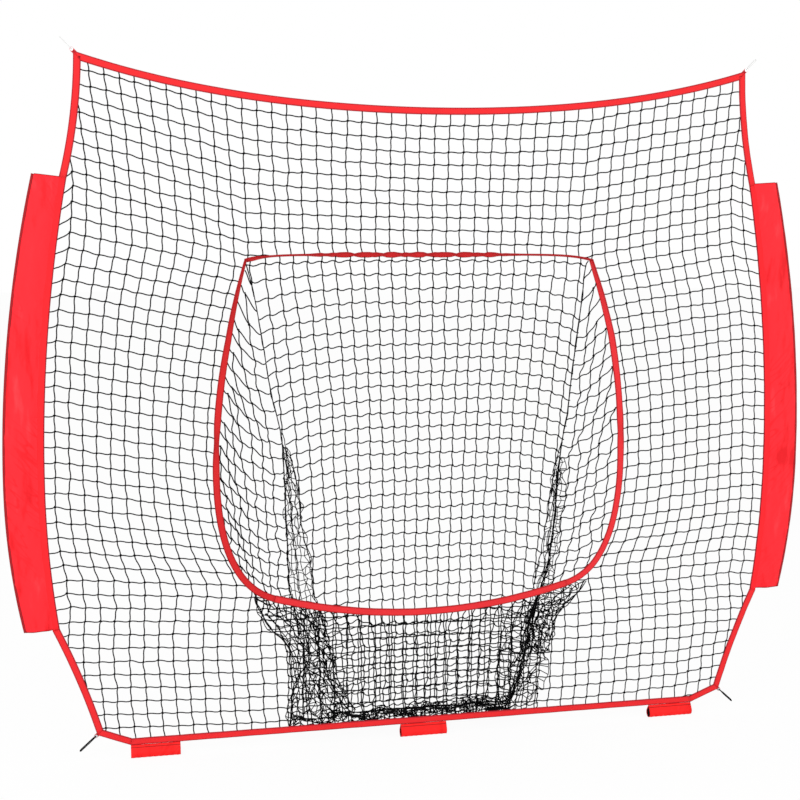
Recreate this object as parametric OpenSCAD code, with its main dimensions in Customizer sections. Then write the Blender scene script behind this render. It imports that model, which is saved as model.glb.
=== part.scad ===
// Pitching target net: a square backstop net in a cloth border, with a framed opening
// and a slack ball pocket hung behind it. Two side sleeves take bow poles and three
// sleeves below the hem take the base pole; elastic loops at the corners keep it taut.
// X runs across the net, Y runs from the pitcher into the pocket and Z is up.
// The origin is the middle of the centre base sleeve's bore.

/* [Net] */
// Width across the two top corners
net_w = 2134; // [1800:1:2400]
// Height of the top corners above the lower edge of the bottom border
net_h = 2137; // [1900:1:2400]
// How far the top border hangs down between its corners
top_sag = 139; // [0:1:200]
// Half width of the netting at the top of the side sleeves
sleeve_top_x = 1096; // [900:1:1200]
// Half width of the netting at its widest
belly_x = 1186; // [1000:1:1300]
// Half width of the netting at the foot of the side sleeves
sleeve_foot_x = 1155; // [950:1:1250]
// Half width across the low corners
low_corner_x = 1052; // [980:1:1100]
// Height of the low corners above the hem
low_corner_h = 41; // [10:1:80]
// Size of one square of the netting
mesh = 45; // [30:1:60]
// Every how many strands one is drawn
strand_step = 3; // [2:1:6]
// Diameter of the twine
twine_d = 3; // [2:0.1:4]

/* [Border tape] */
// Width of the folded border tape
tape_w = 22; // [16:1:40]
// Thickness of one layer of tape
tape_t = 0.8; // [0.5:0.1:1.5]

/* [Side sleeves] */
// Height of the sleeves' foot above the hem
sleeve_foot_h = 386; // [300:1:600]
// Height of the sleeves' top above the hem
sleeve_top_h = 1771; // [1600:1:1850]
// Height above the hem at which the sides are widest
belly_h = 830; // [700:1:1100]
// Width of a sleeve at its top
sleeve_top_w = 101; // [90:1:150]
// Width of a sleeve at its widest
sleeve_belly_w = 123; // [90:1:160]
// Width of a sleeve at its foot
sleeve_foot_w = 108; // [90:1:150]
// Clear depth inside a sleeve, for the bow pole
sleeve_clear = 15; // [12:0.5:24]
// Thickness of the sleeve cloth
cloth_t = 0.8; // [0.5:0.1:1.5]

/* [Base sleeves] */
// Bore of a base sleeve, for the base pole
base_bore_d = 27; // [20:0.5:34]
// Length of a base sleeve
base_sleeve_l = 155; // [100:1:220]
// Distance from the centre of the net to the outer end of an outer base sleeve
base_end_x = 950; // [800:1:960]
// Cloth between the tube of a base sleeve and the hem
base_flange = 12; // [8:0.5:20]
// Thickness of the lining in a base sleeve
lining_t = 0.6; // [0.4:0.1:1]

/* [Target] */
// Width of the opening across its top corners
target_top_w = 1120; // [900:1:1200]
// Width of the opening at its widest
target_w = 1338; // [1250:1:1400]
// Height of the opening's top edge above the hem
target_top_h = 1532; // [1400:1:1600]
// Height above the hem at which the opening is widest
target_belly_h = 865; // [800:1:1000]
// Height of the lowest point of the opening above the hem
target_foot_h = 380; // [350:1:450]
// Width of the tape round the opening
rim_w = 22; // [14:1:30]

/* [Pocket] */
// How far the pocket's bottom hangs behind the net
pocket_depth = 110; // [90:1:160]
// Width of the back panel at its bottom
pocket_foot_w = 580; // [400:1:760]
// Width of the pouch below the opening
pouch_w = 874; // [820:1:960]
// Height of the pocket's bottom above the hem
pocket_foot_h = 20; // [0:1:60]
// Diameter of the gathered seams
seam_d = 8; // [6:0.5:12]

/* [Corner loops] */
// Diameter of the elastic cord of the low loops
low_cord_d = 3.6; // [3:0.1:4]
// Length of a low loop
low_loop_l = 66; // [40:1:120]
// Diameter of the elastic cord of the top loops
top_cord_d = 2; // [1.6:0.1:3]
// Length of a top loop
top_loop_l = 46; // [30:1:100]
// Hole of an eyelet
eyelet_d = 5.6; // [5:0.1:7]

/* [Hidden] */

$fn = 48;
red = "#f03840";
dark_red = "#c8242e";
black = "#26262a";
steel = "#c9ccd0";
pale = "#dcdcdc";

left = -1;
right = 1;

// Clearance between pieces that are sewn together without lying flat on each other
slack = 0.2;
// Clearance of a piece that turns
play = 0.05;
// Depth of a folded tape: the netting lies between its two layers
tape_d = twine_d + 2 * tape_t;
// How far the netting reaches into the tape
tuck = tape_w / 2;

// Heights are given above the hem; the origin is in the base sleeve's bore
base_cloth_r = base_bore_d / 2 + lining_t + slack + cloth_t;
hem_z = base_cloth_r + base_flange;

lattice = mesh * strand_step;

// ---- Curves ----

function mix(a, b, t) = a + (b - a) * t;
function bez2(a, b, c, t) = mix(mix(a, b, t), mix(b, c, t), t);
function bez3(a, b, c, d, t) = mix(bez2(a, b, c, t), bez2(b, c, d, t), t);
function unit(v) = v / norm(v);
function flip(points) = [for (i = [len(points) - 1:-1:0]) points[i]];
function on_side(points, side) = [for (p = points) [side * p[0], p[1]]];

// A bowed edge: x at height z, level with the edge's end [x, z] and widest at belly [x, z]
function bow(z, end, belly) =
    belly[0] - (belly[0] - end[0]) * pow((z - belly[1]) / (end[1] - belly[1]), 2);

// Corner i of a closed outline, moved in by d square to both its edges
function corner_in(points, i, d) =
    let (n = len(points), p = points[i],
         a = unit(p - points[(i + n - 1) % n]), b = unit(points[(i + 1) % n] - p),
         na = [-a[1], a[0]], nb = [-b[1], b[0]])
    p + (na + nb) * d / (1 + na * nb);
function move_in(points, d) = [for (i = [0:len(points) - 1]) corner_in(points, i, d)];

// ---- Outline of the net, anticlockwise from the low left end of the bottom border ----

top_z = hem_z + net_h;
sleeve_top_z = hem_z + sleeve_top_h;
sleeve_foot_z = hem_z + sleeve_foot_h;
belly_z = hem_z + belly_h;
low_corner_z = hem_z + low_corner_h;

// Points along each part of the outline
top_steps = 16;
upper_steps = 4;
bow_steps = 5;
lower_steps = 3;
// How far the upper and lower borders are drawn in from a straight line
upper_draw = 22;
lower_draw = 14;

// Net-side edge of a sleeve at height z
function inner_x(z) = z > belly_z
    ? bow(z, [sleeve_top_x, sleeve_top_z], [belly_x, belly_z])
    : bow(z, [sleeve_foot_x, sleeve_foot_z], [belly_x, belly_z]);
// Outer edge of a sleeve at height z
function outer_x(z) = z > belly_z
    ? bow(z, [sleeve_top_x + sleeve_top_w, sleeve_top_z], [belly_x + sleeve_belly_w, belly_z])
    : bow(z, [sleeve_foot_x + sleeve_foot_w, sleeve_foot_z], [belly_x + sleeve_belly_w, belly_z]);

top_corner = [net_w / 2, top_z];
low_corner = [low_corner_x, low_corner_z];
sleeve_top = [sleeve_top_x + tape_w, sleeve_top_z];
sleeve_foot = [sleeve_foot_x + tape_w, sleeve_foot_z];

function drawn_in(a, b, draw, steps) =
    [for (k = [1:steps]) bez2(a, mix(a, b, 0.5) - [draw, 0], b, k / steps)];
function heights(z0, z1, steps) = [for (k = [1:steps]) mix(z0, z1, k / steps)];

// The right-hand side, from the base up to the top corner
side_points = concat(
    [[base_end_x, hem_z], low_corner],
    drawn_in(low_corner, sleeve_foot, lower_draw, lower_steps),
    [for (z = heights(sleeve_foot_z, belly_z, bow_steps)) [inner_x(z) + tape_w, z]],
    [for (z = heights(belly_z, sleeve_top_z, bow_steps)) [inner_x(z) + tape_w, z]],
    drawn_in(sleeve_top, top_corner, upper_draw, upper_steps)
);
// The top hangs flatter in its middle than a parabola: its height above the lowest point
// goes with u squared and, for this share of the sag, with u to the fourth
top_flat = 0.2;
function top_height(u) = top_z - top_sag * (1 - mix(u ^ 2, u ^ 4, top_flat));
top_points = [for (k = [1:top_steps - 1])
    let (u = 1 - 2 * k / top_steps) [u * top_corner[0], top_height(u)]];
outline = concat(side_points, top_points, flip(on_side(side_points, left)));

// Places in the outline where one piece of tape ends and the next begins
at_base = 0;
at_low_corner = 1;
at_sleeve_foot = at_low_corner + lower_steps;
at_sleeve_top = at_sleeve_foot + 2 * bow_steps;
at_top_corner = at_sleeve_top + upper_steps;
at_far_corner = at_top_corner + top_steps;
function far(i) = at_far_corner + at_top_corner - i;

// ---- Outline of the opening, anticlockwise from the low end of its right side ----

// The top edge rises a little between its corners, and the foot's curve ends this high up
top_rise_h = 8;
foot_curve_h = 70;
rim_top_z = hem_z + target_top_h;
rim_corner = [target_top_w / 2, rim_top_z - top_rise_h];
rim_belly = [target_w / 2, hem_z + target_belly_h];
rim_foot_z = hem_z + target_foot_h;
// Where the curved foot of the opening meets its rounded corner
rim_turn = [target_w * 0.365, rim_foot_z + foot_curve_h];
rim_up_steps = 6;
rim_turn_steps = 8;
rim_foot_steps = 6;
rim_top_steps = 4;
// The rounded corner leaves the side upright and the foot along its slope
turn_rise = (rim_belly[1] - rim_foot_z) * 0.37;
turn_reach = (rim_belly[0] - rim_turn[0]) * 0.8;
turn_slope = 0.29;

rim_turn_points = [for (k = [1:rim_turn_steps])
    bez3(rim_turn, rim_turn + [turn_reach, turn_reach * turn_slope],
         rim_belly - [0, turn_rise], rim_belly, k / rim_turn_steps)];
rim_side_points = [for (z = heights(rim_belly[1], rim_corner[1], rim_up_steps))
    [bow(z, rim_corner, rim_belly), z]];
rim_half = concat([rim_turn], rim_turn_points, rim_side_points);
rim_top_points = [for (k = [1:rim_top_steps - 1])
    bez2(rim_corner, [0, 2 * rim_top_z - rim_corner[1]], [-rim_corner[0], rim_corner[1]],
         k / rim_top_steps)];
rim_foot_points = [for (k = [1:rim_foot_steps - 1])
    bez2([-rim_turn[0], rim_turn[1]], [0, 2 * rim_foot_z - rim_turn[1]], rim_turn,
         k / rim_foot_steps)];
rim_line = concat(rim_half, rim_top_points, flip(on_side(rim_half, left)), rim_foot_points);
at_rim_corner = rim_turn_steps + rim_up_steps;
at_rim_far_corner = at_rim_corner + rim_top_steps;
at_rim_far_turn = at_rim_far_corner + at_rim_corner;

// ---- Tapes ----

// A flat shape in X and Z, between two depths
module upright(y0, y1) {
    translate([0, y1, 0]) rotate([90, 0, 0]) linear_extrude(y1 - y0) children();
}

// The stretch of an outline from place i to place j, between two distances inside it
module band(points, i, j, d0, d1) {
    n = len(points);
    places = [for (k = [i:j]) k % n];
    polygon(concat([for (k = places) corner_in(points, k, d0)],
                   flip([for (k = places) corner_in(points, k, d1)])));
}

// A tape folded over the edge of the netting: two layers joined by the fold at d0
module folded_tape(points, i, j, d0, d1, depth, wall) {
    fold = d0 + sign(d1 - d0) * 2 * wall;
    for (side = [0, 1])
        mirror([0, side, 0]) upright(depth / 2 - wall, depth / 2) band(points, i, j, d0, d1);
    upright(wall - depth / 2, depth / 2 - wall) band(points, i, j, d0, fold);
}

module border(i, j) {
    color(red) folded_tape(outline, i, j, 0, tape_w, tape_d, tape_t);
}

module rim(i, j) {
    color(dark_red) folded_tape(rim_line, i, j, rim_w / 2, -rim_w / 2, tape_d, tape_t);
}

// ---- Netting ----

// Squares are counted from the middle of the net and from the foot of the opening
row_z = rim_foot_z - rim_w / 2 - mesh;
columns = floor(belly_x / lattice) + 1;
rows_up = ceil(top_z / lattice) + 1;
split_x = 4 * lattice;
net_edge = move_in(outline, tape_w - tuck);
rim_edge = move_in(rim_line, tuck - rim_w / 2);

// The strands of the netting, with the rows that lie between two heights
module strands(row_low, row_high) {
    for (k = [-columns:columns - 1])
        translate([(k + 0.5) * lattice, top_z / 2])
            square([twine_d, 2 * top_z], center = true);
    for (k = [-rows_up:rows_up])
        if (row_z + k * lattice > row_low && row_z + k * lattice < row_high)
            translate([0, row_z + k * lattice])
                square([3 * belly_x, twine_d], center = true);
}

// The netting between the border and the opening that lies in one window of the net
module netting(x0, x1, z0, z1, row_low, row_high) {
    color(black) upright(-twine_d / 2, twine_d / 2) intersection() {
        difference() {
            intersection() {
                polygon(net_edge);
                translate([x0, z0]) square([x1 - x0, z1 - z0]);
            }
            polygon(rim_edge);
        }
        strands(row_low, row_high);
    }
}

module net_left() netting(-2 * belly_x, -split_x, 0, 2 * top_z, hem_z + mesh / 2, top_z);
module net_right() netting(split_x, 2 * belly_x, 0, 2 * top_z, hem_z + mesh / 2, top_z);
module net_above_target()
    netting(-split_x, split_x, rim_belly[1], 2 * top_z, rim_top_z + mesh / 2, top_z);
module net_below_target()
    netting(-split_x, split_x, 0, rim_belly[1], hem_z + mesh / 2, rim_foot_z - mesh / 2);

module top_border() border(at_top_corner, at_far_corner);
module bottom_border() border(far(at_base), far(at_base) + 1);
module right_corner_border() border(at_base, at_low_corner);
module right_lower_border() border(at_low_corner, at_sleeve_foot);
module right_sleeve_seam() border(at_sleeve_foot, at_sleeve_top);
module right_upper_border() border(at_sleeve_top, at_top_corner);
module left_corner_border() border(far(at_low_corner), far(at_base));
module left_lower_border() border(far(at_sleeve_foot), far(at_low_corner));
module left_sleeve_seam() border(far(at_sleeve_top), far(at_sleeve_foot));
module left_upper_border() border(far(at_top_corner), far(at_sleeve_top));

module target_rim_right() rim(0, at_rim_corner);
module target_rim_top() rim(at_rim_corner, at_rim_far_corner);
module target_rim_left() rim(at_rim_far_corner, at_rim_far_turn);
module target_rim_foot() rim(at_rim_far_turn, len(rim_line));

// ---- Thin surfaces ----

// Whether a cell of a grid is filled: in an open grid every second one is a gap
function filled(i, j, rows, cols, open) =
    i >= 0 && i < rows && j >= 0 && j < cols && !(open && i % 2 == 1 && j % 2 == 1);

// A solid between two grids of points, with the cells of an open grid left out
module slab(over, under, open = false) {
    rows = len(over) - 1;
    cols = len(over[0]) - 1;
    n = (rows + 1) * (cols + 1);
    function at(i, j) = i * (cols + 1) + j;
    cells = [for (i = [0:rows - 1]) for (j = [0:cols - 1])
        if (filled(i, j, rows, cols, open)) [i, j]];
    // The sides of a cell, each with the step to the cell beyond it
    function sides(i, j) = [
        [at(i, j), at(i, j + 1), -1, 0], [at(i, j + 1), at(i + 1, j + 1), 0, 1],
        [at(i + 1, j + 1), at(i + 1, j), 1, 0], [at(i + 1, j), at(i, j), 0, -1]];
    polyhedron(
        points = concat([for (row = over) each row], [for (row = under) each row]),
        faces = concat(
            [for (c = cells) each [
                [at(c[0], c[1]), at(c[0], c[1] + 1), at(c[0] + 1, c[1] + 1)],
                [at(c[0], c[1]), at(c[0] + 1, c[1] + 1), at(c[0] + 1, c[1])]]],
            [for (c = cells) each [
                [n + at(c[0], c[1]), n + at(c[0] + 1, c[1] + 1), n + at(c[0], c[1] + 1)],
                [n + at(c[0], c[1]), n + at(c[0] + 1, c[1]), n + at(c[0] + 1, c[1] + 1)]]],
            [for (c = cells) each [for (s = sides(c[0], c[1]))
                if (!filled(c[0] + s[2], c[1] + s[3], rows, cols, open)) each [
                    [s[1], s[0], n + s[0]], [s[1], n + s[0], n + s[1]]]]]
        ),
        convexity = 8);
}

// A net tied between a grid of knots: each strand is as thick and as wide as the twine
module net_between(knots) {
    rows = len(knots) - 1;
    cols = len(knots[0]) - 1;
    function down(i, j) = unit(knots[min(i + 1, rows)][j] - knots[max(i - 1, 0)][j]);
    function across(i, j) = unit(knots[i][min(j + 1, cols)] - knots[i][max(j - 1, 0)]);
    // How far edge a of strand i of n lies from its knots, with the outer strands inside
    function shift(a, i, n) = (a - 0.5 + (i == 0 ? 0.5 : 0) - (i == n ? 0.5 : 0)) * twine_d;
    function corner(i, j, a, b, face) =
        knots[i][j] + down(i, j) * shift(a, i, rows) + across(i, j) * shift(b, j, cols)
        + unit(cross(down(i, j), across(i, j))) * face * twine_d / 2;
    function grid(face) = [for (i = [0:rows]) each [for (a = [0, 1])
        [for (j = [0:cols]) each [for (b = [0, 1]) corner(i, j, a, b, face)]]]];
    color(black) slab(grid(1), grid(-1), open = true);
}

// ---- Side sleeves ----

hem_w = 8;
margin_w = tape_w + 4;
swell_w = 14;
sleeve_heights = concat([sleeve_foot_z], heights(sleeve_foot_z, belly_z, bow_steps),
                        heights(belly_z, sleeve_top_z, bow_steps));
// Depth of a panel's inner face: over the seam, in the middle and in the hem
seam_y = tape_d / 2;
swell_y = sleeve_clear / 2;
edge_y = slack;

// Places across a panel at height z: [x, depth of the inner face]
function panel_row(z) = [
    [inner_x(z), seam_y], [inner_x(z) + margin_w, seam_y],
    [inner_x(z) + margin_w + swell_w, swell_y],
    [outer_x(z) - hem_w - swell_w, swell_y],
    [outer_x(z) - hem_w, edge_y], [outer_x(z) - 2 * cloth_t - slack, edge_y]];

function panel(side, face, off) = [for (z = sleeve_heights)
    [for (p = panel_row(z)) [side * p[0], face * (p[1] + off), z]]];

// One of the two cloths of a sleeve: face -1 is the front one
module sleeve_panel(side, face) {
    out = panel(side, face, cloth_t);
    in = panel(side, face, 0);
    color(red) if (side * face < 0) slab(in, out); else slab(out, in);
}

// The hem along the outer edge of a sleeve, where both its cloths are sewn together
function sleeve_edge(side) = let (
    outer = [for (z = sleeve_heights) [side * outer_x(z), z]],
    back = [[side * belly_x, sleeve_top_z], [side * belly_x, sleeve_foot_z]])
    side > 0 ? concat(outer, back) : concat([back[1], back[0]], flip(outer));

module sleeve_hem(side) {
    edge = sleeve_edge(side);
    first = side > 0 ? 0 : 2;
    last = first + 2 * bow_steps;
    depth = 2 * (edge_y + cloth_t + slack + cloth_t);
    color(dark_red) folded_tape(edge, first, last, 0, hem_w, depth, cloth_t);
}

module left_sleeve_front() sleeve_panel(left, -1);
module left_sleeve_back() sleeve_panel(left, 1);
module left_sleeve_hem() sleeve_hem(left);
module right_sleeve_front() sleeve_panel(right, -1);
module right_sleeve_back() sleeve_panel(right, 1);
module right_sleeve_hem() sleeve_hem(right);

// ---- Base sleeves ----

base_outer_x = base_end_x - base_sleeve_l / 2;
// Line on which a base sleeve swings: the round top edge of its flange
flange_z = hem_z - play - cloth_t;
lining_end = 2;

module along_x(r, l) rotate([0, 90, 0]) cylinder(r = r, h = l, center = true);

module base_sleeve(x) {
    color(red) translate([x, 0, 0]) difference() {
        union() {
            along_x(base_cloth_r, base_sleeve_l);
            translate([-base_sleeve_l / 2, -cloth_t, 0])
                cube([base_sleeve_l, 2 * cloth_t, flange_z]);
            translate([0, 0, flange_z]) along_x(cloth_t, base_sleeve_l);
        }
        along_x(base_cloth_r - cloth_t, 2 * base_sleeve_l);
    }
}

module base_lining(x) {
    color(black) translate([x, 0, 0]) difference() {
        along_x(base_bore_d / 2 + lining_t, base_sleeve_l - 2 * lining_end);
        along_x(base_bore_d / 2, 2 * base_sleeve_l);
    }
}

module base_sleeve_left() base_sleeve(-base_outer_x);
module base_sleeve_centre() base_sleeve(0);
module base_sleeve_right() base_sleeve(base_outer_x);
module base_lining_left() base_lining(-base_outer_x);
module base_lining_centre() base_lining(0);
module base_lining_right() base_lining(base_outer_x);

// ---- Ball pocket ----

pocket_y = tape_d / 2 + slack + twine_d / 2;
pocket_foot_z = hem_z + pocket_foot_h;
pocket_rows = 11;
pocket_cols = 8;
pouch_rows = 3;
// Distance of a net's edge from the middle of a seam, and of two nets' edges at a joint
seam_gap = seam_d / 2 + 2 * slack;
lap = twine_d / 2 + slack;
edge_gap = 2 * lap + slack;
pouch_step = 4;

// Depth of the back panel at height z
function back_y(z) = mix(pocket_y, pocket_depth, (rim_corner[1] - z) / (rim_corner[1] - pocket_foot_z));

// The edge of the back panel, from the corner of the opening to the pocket's foot
back_top = rim_corner - [rim_w / 2, 0];
back_foot = [pocket_foot_w / 2, pocket_foot_z];
back_mid = [pouch_w / 2 + mesh, mix(pocket_foot_z, rim_corner[1], 0.65)];
back_low = [pouch_w / 2 - mesh / 2, mix(pocket_foot_z, rim_corner[1], 0.15)];
function back_edge(t) = bez3(back_top, back_mid, back_low, back_foot, t);
// How much wider than square to it a gap beside the leaning edge is, measured level
function lean(t) = let (step = back_edge(t + 0.01) - back_edge(t - 0.01)) norm(step) / abs(step[1]);
function behind(p) = [p[0], back_y(p[1]), p[1]];
// Places across a net, from -1 at its left edge to 1 at its right edge
function foot_x(j) = mix(-1, 1, j / pocket_cols);

module pocket_back() net_between([for (i = [0:pocket_rows])
    let (t = i / pocket_rows, p = back_edge(t), half = p[0] - seam_gap * lean(t))
    [for (j = [0:pocket_cols]) behind([foot_x(j) * half, p[1]])]]);

// The front edge of a side panel: down the opening's side, then down the pouch
side_places = [for (k = [at_rim_corner - 1:-1:rim_turn_steps]) k];
turn_places = [for (k = [rim_turn_steps - 2:-2:2]) k];
pouch_edge = [rim_line[1],
    [pouch_w / 2 + mesh, mix(pocket_foot_z, rim_line[1][1], 0.68)],
    [pouch_w / 2, mix(pocket_foot_z, rim_line[1][1], 0.35)],
    [pouch_w / 2, pocket_foot_z]];
function pouch_y(k) = pocket_y + k * pouch_step;
side_front = concat(
    [for (k = concat(side_places, turn_places)) [rim_line[k][0], pocket_y, rim_line[k][1]]],
    [for (k = [0:pouch_rows]) [pouch_edge[k][0] + edge_gap, pouch_y(k) + lap, pouch_edge[k][1]]]);
side_rows = len(side_front) - 1;
side_cols = 2;
// The side panels begin this far down the back panel's edge
side_start = 0.09;

module pocket_side(side) net_between([for (i = [0:side_rows])
    let (p = side_front[i], t = mix(side_start, 1, i / side_rows), seam = behind(back_edge(t)),
         q = seam + unit([p[0] - seam[0], p[1] - seam[1], 0]) * seam_gap * lean(t),
         row = [for (j = [0:side_cols]) mix(p, q, j / side_cols)])
    [for (v = side > 0 ? row : flip(row)) [side * v[0], v[1], v[2]]]]);

// The front net hangs from the foot of the opening, and its rows level out downwards
module pocket_front() net_between([for (i = [0:pouch_rows])
    let (end = pouch_edge[i],
         sunk = (pouch_edge[0][1] - end[1]) / (pouch_edge[0][1] - pocket_foot_z),
         middle_z = mix(rim_foot_z, pocket_foot_z, sunk))
    [for (j = [0:pocket_cols])
        [foot_x(j) * end[0], pouch_y(i), mix(middle_z, end[1], pow(foot_x(j), 2))]]]);

module pocket_floor() {
    front_y = pouch_y(pouch_rows) + lap;
    rear_y = pocket_depth - seam_gap;
    net_between([for (i = [0, 1]) [for (j = [0:pocket_cols])
        [foot_x(j) * (mix(pouch_w, pocket_foot_w, i) / 2 - seam_gap),
         mix(front_y, rear_y, i), pocket_foot_z]]]);
}

// A round cord through a list of points, with a ring of six corners at each
cord_sides = 6;
module cord(points, d) {
    n = len(points);
    function along(i) = unit(points[min(i + 1, n - 1)] - points[max(i - 1, 0)]);
    function ring(i) = let (u = unit(cross(along(i), [0, 0.1, 1])), v = cross(along(i), u))
        [for (k = [0:cord_sides - 1]) let (a = 360 * k / cord_sides)
            points[i] + (u * cos(a) + v * sin(a)) * d / 2];
    function at(i, k) = i * cord_sides + k % cord_sides;
    polyhedron(
        points = [for (i = [0:n - 1]) each ring(i)],
        faces = concat(
            [for (i = [0:n - 2]) for (k = [0:cord_sides - 1]) each [
                [at(i, k), at(i + 1, k), at(i + 1, k + 1)],
                [at(i, k), at(i + 1, k + 1), at(i, k + 1)]]],
            [for (k = [1:cord_sides - 2]) each [
                [at(0, 0), at(0, k), at(0, k + 1)],
                [at(n - 1, 0), at(n - 1, k + 1), at(n - 1, k)]]]));
}

// A seam starts behind the tape round the opening and ends above the pocket's hem
seam_end = 0.995;
seam_y0 = tape_d / 2 + slack + seam_d / 2;
module pocket_seam(side) color(black) cord([for (i = [0:pocket_rows])
    let (p = behind(back_edge(min(i / pocket_rows, seam_end))))
    [side * p[0], max(p[1], seam_y0), p[2]]], seam_d);

module pocket_hem_cord() color(black)
    translate([0, pocket_depth, pocket_foot_z - seam_gap]) along_x(seam_d / 2, pocket_foot_w);

module pocket_left_side() pocket_side(left);
module pocket_right_side() pocket_side(right);
module pocket_left_seam() pocket_seam(left);
module pocket_right_seam() pocket_seam(right);

// ---- Corner loops ----

low_angle = -42;
top_angle = 46;
tab_w = 12;
tab_t = 1.6;
tab_in = 12;
eyelet_x = 6;
barrel_t = 1;
flange_w = 1.4;
flange_t = 0.6;
tab_y = tape_d / 2 + tab_t / 2;
eyelet_r = eyelet_d / 2;
eyelet_half = tab_t / 2 + flange_t;
cord_play = 0.4;
bend_play = 1.8;

// At a corner of the net, with X pointing out of it and the origin behind the tape
module at_corner(side, corner, angle) {
    mirror([side < 0 ? 1 : 0, 0, 0]) translate([corner[0], tab_y, corner[1]])
        rotate([0, -angle, 0]) children();
}

module through(r, h) rotate([90, 0, 0]) cylinder(r = r, h = h, center = true);

module tab() color(red) difference() {
    union() {
        translate([-tab_in, -tab_t / 2, -tab_w / 2]) cube([tab_in + eyelet_x, tab_t, tab_w]);
        translate([eyelet_x, 0, 0]) through(tab_w / 2, tab_t);
    }
    translate([eyelet_x, 0, 0]) through(eyelet_r + barrel_t + slack / 2, 2 * tab_t);
}

module eyelet() color(steel) translate([eyelet_x, 0, 0]) rotate([90, 0, 0]) difference() {
    union() {
        cylinder(r = eyelet_r + barrel_t, h = 2 * eyelet_half, center = true);
        for (end = [-1, 1]) translate([0, 0, end * (eyelet_half - flange_t / 2)])
            cylinder(r = eyelet_r + barrel_t + flange_w, h = flange_t, center = true);
    }
    cylinder(r = eyelet_r, h = 4 * eyelet_half, center = true);
}

// A closed loop of elastic cord through the eyelet, one run on each side of the tab
module loop(cord_d, length, colour) {
    $fn = 24;
    cord_r = cord_d / 2;
    bend = eyelet_half + cord_r + bend_play;
    near = eyelet_r - cord_r - cord_play + bend;
    run = length - 2 * bend;
    color(colour) translate([eyelet_x + near, 0, 0]) {
        for (y = [-bend, bend]) translate([0, y, 0]) rotate([0, 90, 0]) cylinder(r = cord_r, h = run);
        for (end = [[0, 90], [run, -90]]) translate([end[0], 0, 0]) rotate([0, 0, end[1]])
            rotate_extrude(angle = 180) translate([bend, 0]) circle(r = cord_r);
    }
}

module low_left_tab() at_corner(left, low_corner, low_angle) tab();
module low_right_tab() at_corner(right, low_corner, low_angle) tab();
module top_left_tab() at_corner(left, top_corner, top_angle) tab();
module top_right_tab() at_corner(right, top_corner, top_angle) tab();
module low_left_eyelet() at_corner(left, low_corner, low_angle) eyelet();
module low_right_eyelet() at_corner(right, low_corner, low_angle) eyelet();
module top_left_eyelet() at_corner(left, top_corner, top_angle) eyelet();
module top_right_eyelet() at_corner(right, top_corner, top_angle) eyelet();
module low_left_loop() at_corner(left, low_corner, low_angle) loop(low_cord_d, low_loop_l, black);
module low_right_loop() at_corner(right, low_corner, low_angle) loop(low_cord_d, low_loop_l, black);
module top_left_loop() at_corner(left, top_corner, top_angle) loop(top_cord_d, top_loop_l, pale);
module top_right_loop() at_corner(right, top_corner, top_angle) loop(top_cord_d, top_loop_l, pale);

net_left();
net_right();
net_above_target();
net_below_target();
top_border();
bottom_border();
left_upper_border();
left_sleeve_seam();
left_lower_border();
left_corner_border();
right_upper_border();
right_sleeve_seam();
right_lower_border();
right_corner_border();
left_sleeve_front();
left_sleeve_back();
left_sleeve_hem();
right_sleeve_front();
right_sleeve_back();
right_sleeve_hem();
base_sleeve_left();
base_sleeve_centre();
base_sleeve_right();
base_lining_left();
base_lining_centre();
base_lining_right();
target_rim_top();
target_rim_left();
target_rim_right();
target_rim_foot();
pocket_back();
pocket_left_side();
pocket_right_side();
pocket_front();
pocket_floor();
pocket_left_seam();
pocket_right_seam();
pocket_hem_cord();
low_left_tab();
low_right_tab();
top_left_tab();
top_right_tab();
low_left_eyelet();
low_right_eyelet();
top_left_eyelet();
top_right_eyelet();
low_left_loop();
low_right_loop();
top_left_loop();
top_right_loop();
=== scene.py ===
# %% [markdown]
# # A pitching target net
# The net is a square of knotted black twine in a bright cloth border, with a framed
# opening and a slack ball pocket tied behind it. Two side sleeves take bow poles and
# three small sleeves under the hem take the base pole. Everything soft here is made of
# surfaces worked out with numpy: a shape is a function of two numbers on a grid, or a
# profile carried along a path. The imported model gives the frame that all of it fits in.

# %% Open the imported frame
import math

import bpy
import numpy as np
from mathutils import Matrix


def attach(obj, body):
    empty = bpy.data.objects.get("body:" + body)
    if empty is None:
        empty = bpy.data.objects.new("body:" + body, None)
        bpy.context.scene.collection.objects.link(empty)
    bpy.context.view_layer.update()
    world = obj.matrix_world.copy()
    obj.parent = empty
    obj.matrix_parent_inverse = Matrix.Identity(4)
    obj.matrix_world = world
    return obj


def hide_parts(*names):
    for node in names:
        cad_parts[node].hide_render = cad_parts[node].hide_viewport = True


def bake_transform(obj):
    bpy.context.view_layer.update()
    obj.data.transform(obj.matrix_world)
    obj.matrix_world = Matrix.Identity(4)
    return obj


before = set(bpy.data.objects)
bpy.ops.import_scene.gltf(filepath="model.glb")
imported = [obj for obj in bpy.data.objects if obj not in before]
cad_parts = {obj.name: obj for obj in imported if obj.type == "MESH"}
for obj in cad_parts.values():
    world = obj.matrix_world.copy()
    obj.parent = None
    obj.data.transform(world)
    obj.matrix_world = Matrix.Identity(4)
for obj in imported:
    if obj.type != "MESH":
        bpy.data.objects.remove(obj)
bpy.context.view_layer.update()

HEM = 0.0271  # height of the bottom border's lower edge above the middle of the base sleeves
random = np.random.default_rng(11)

# %% [markdown]
# ## The camera
# A camera is a place, three turns and a lens. Written as a matrix, its columns are the
# directions of its right side, its top and its back. That is easier to check than three
# Euler angles, so the turns are worked into directions first. The lens of 58.5 mm on a
# 36 mm sensor sees about 34 degrees, a calm view from four metres away.

# %% Place the camera
def put_in_scene(name, data):
    thing = bpy.data.objects.new(name, data)
    bpy.context.scene.collection.objects.link(thing)
    return thing


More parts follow.
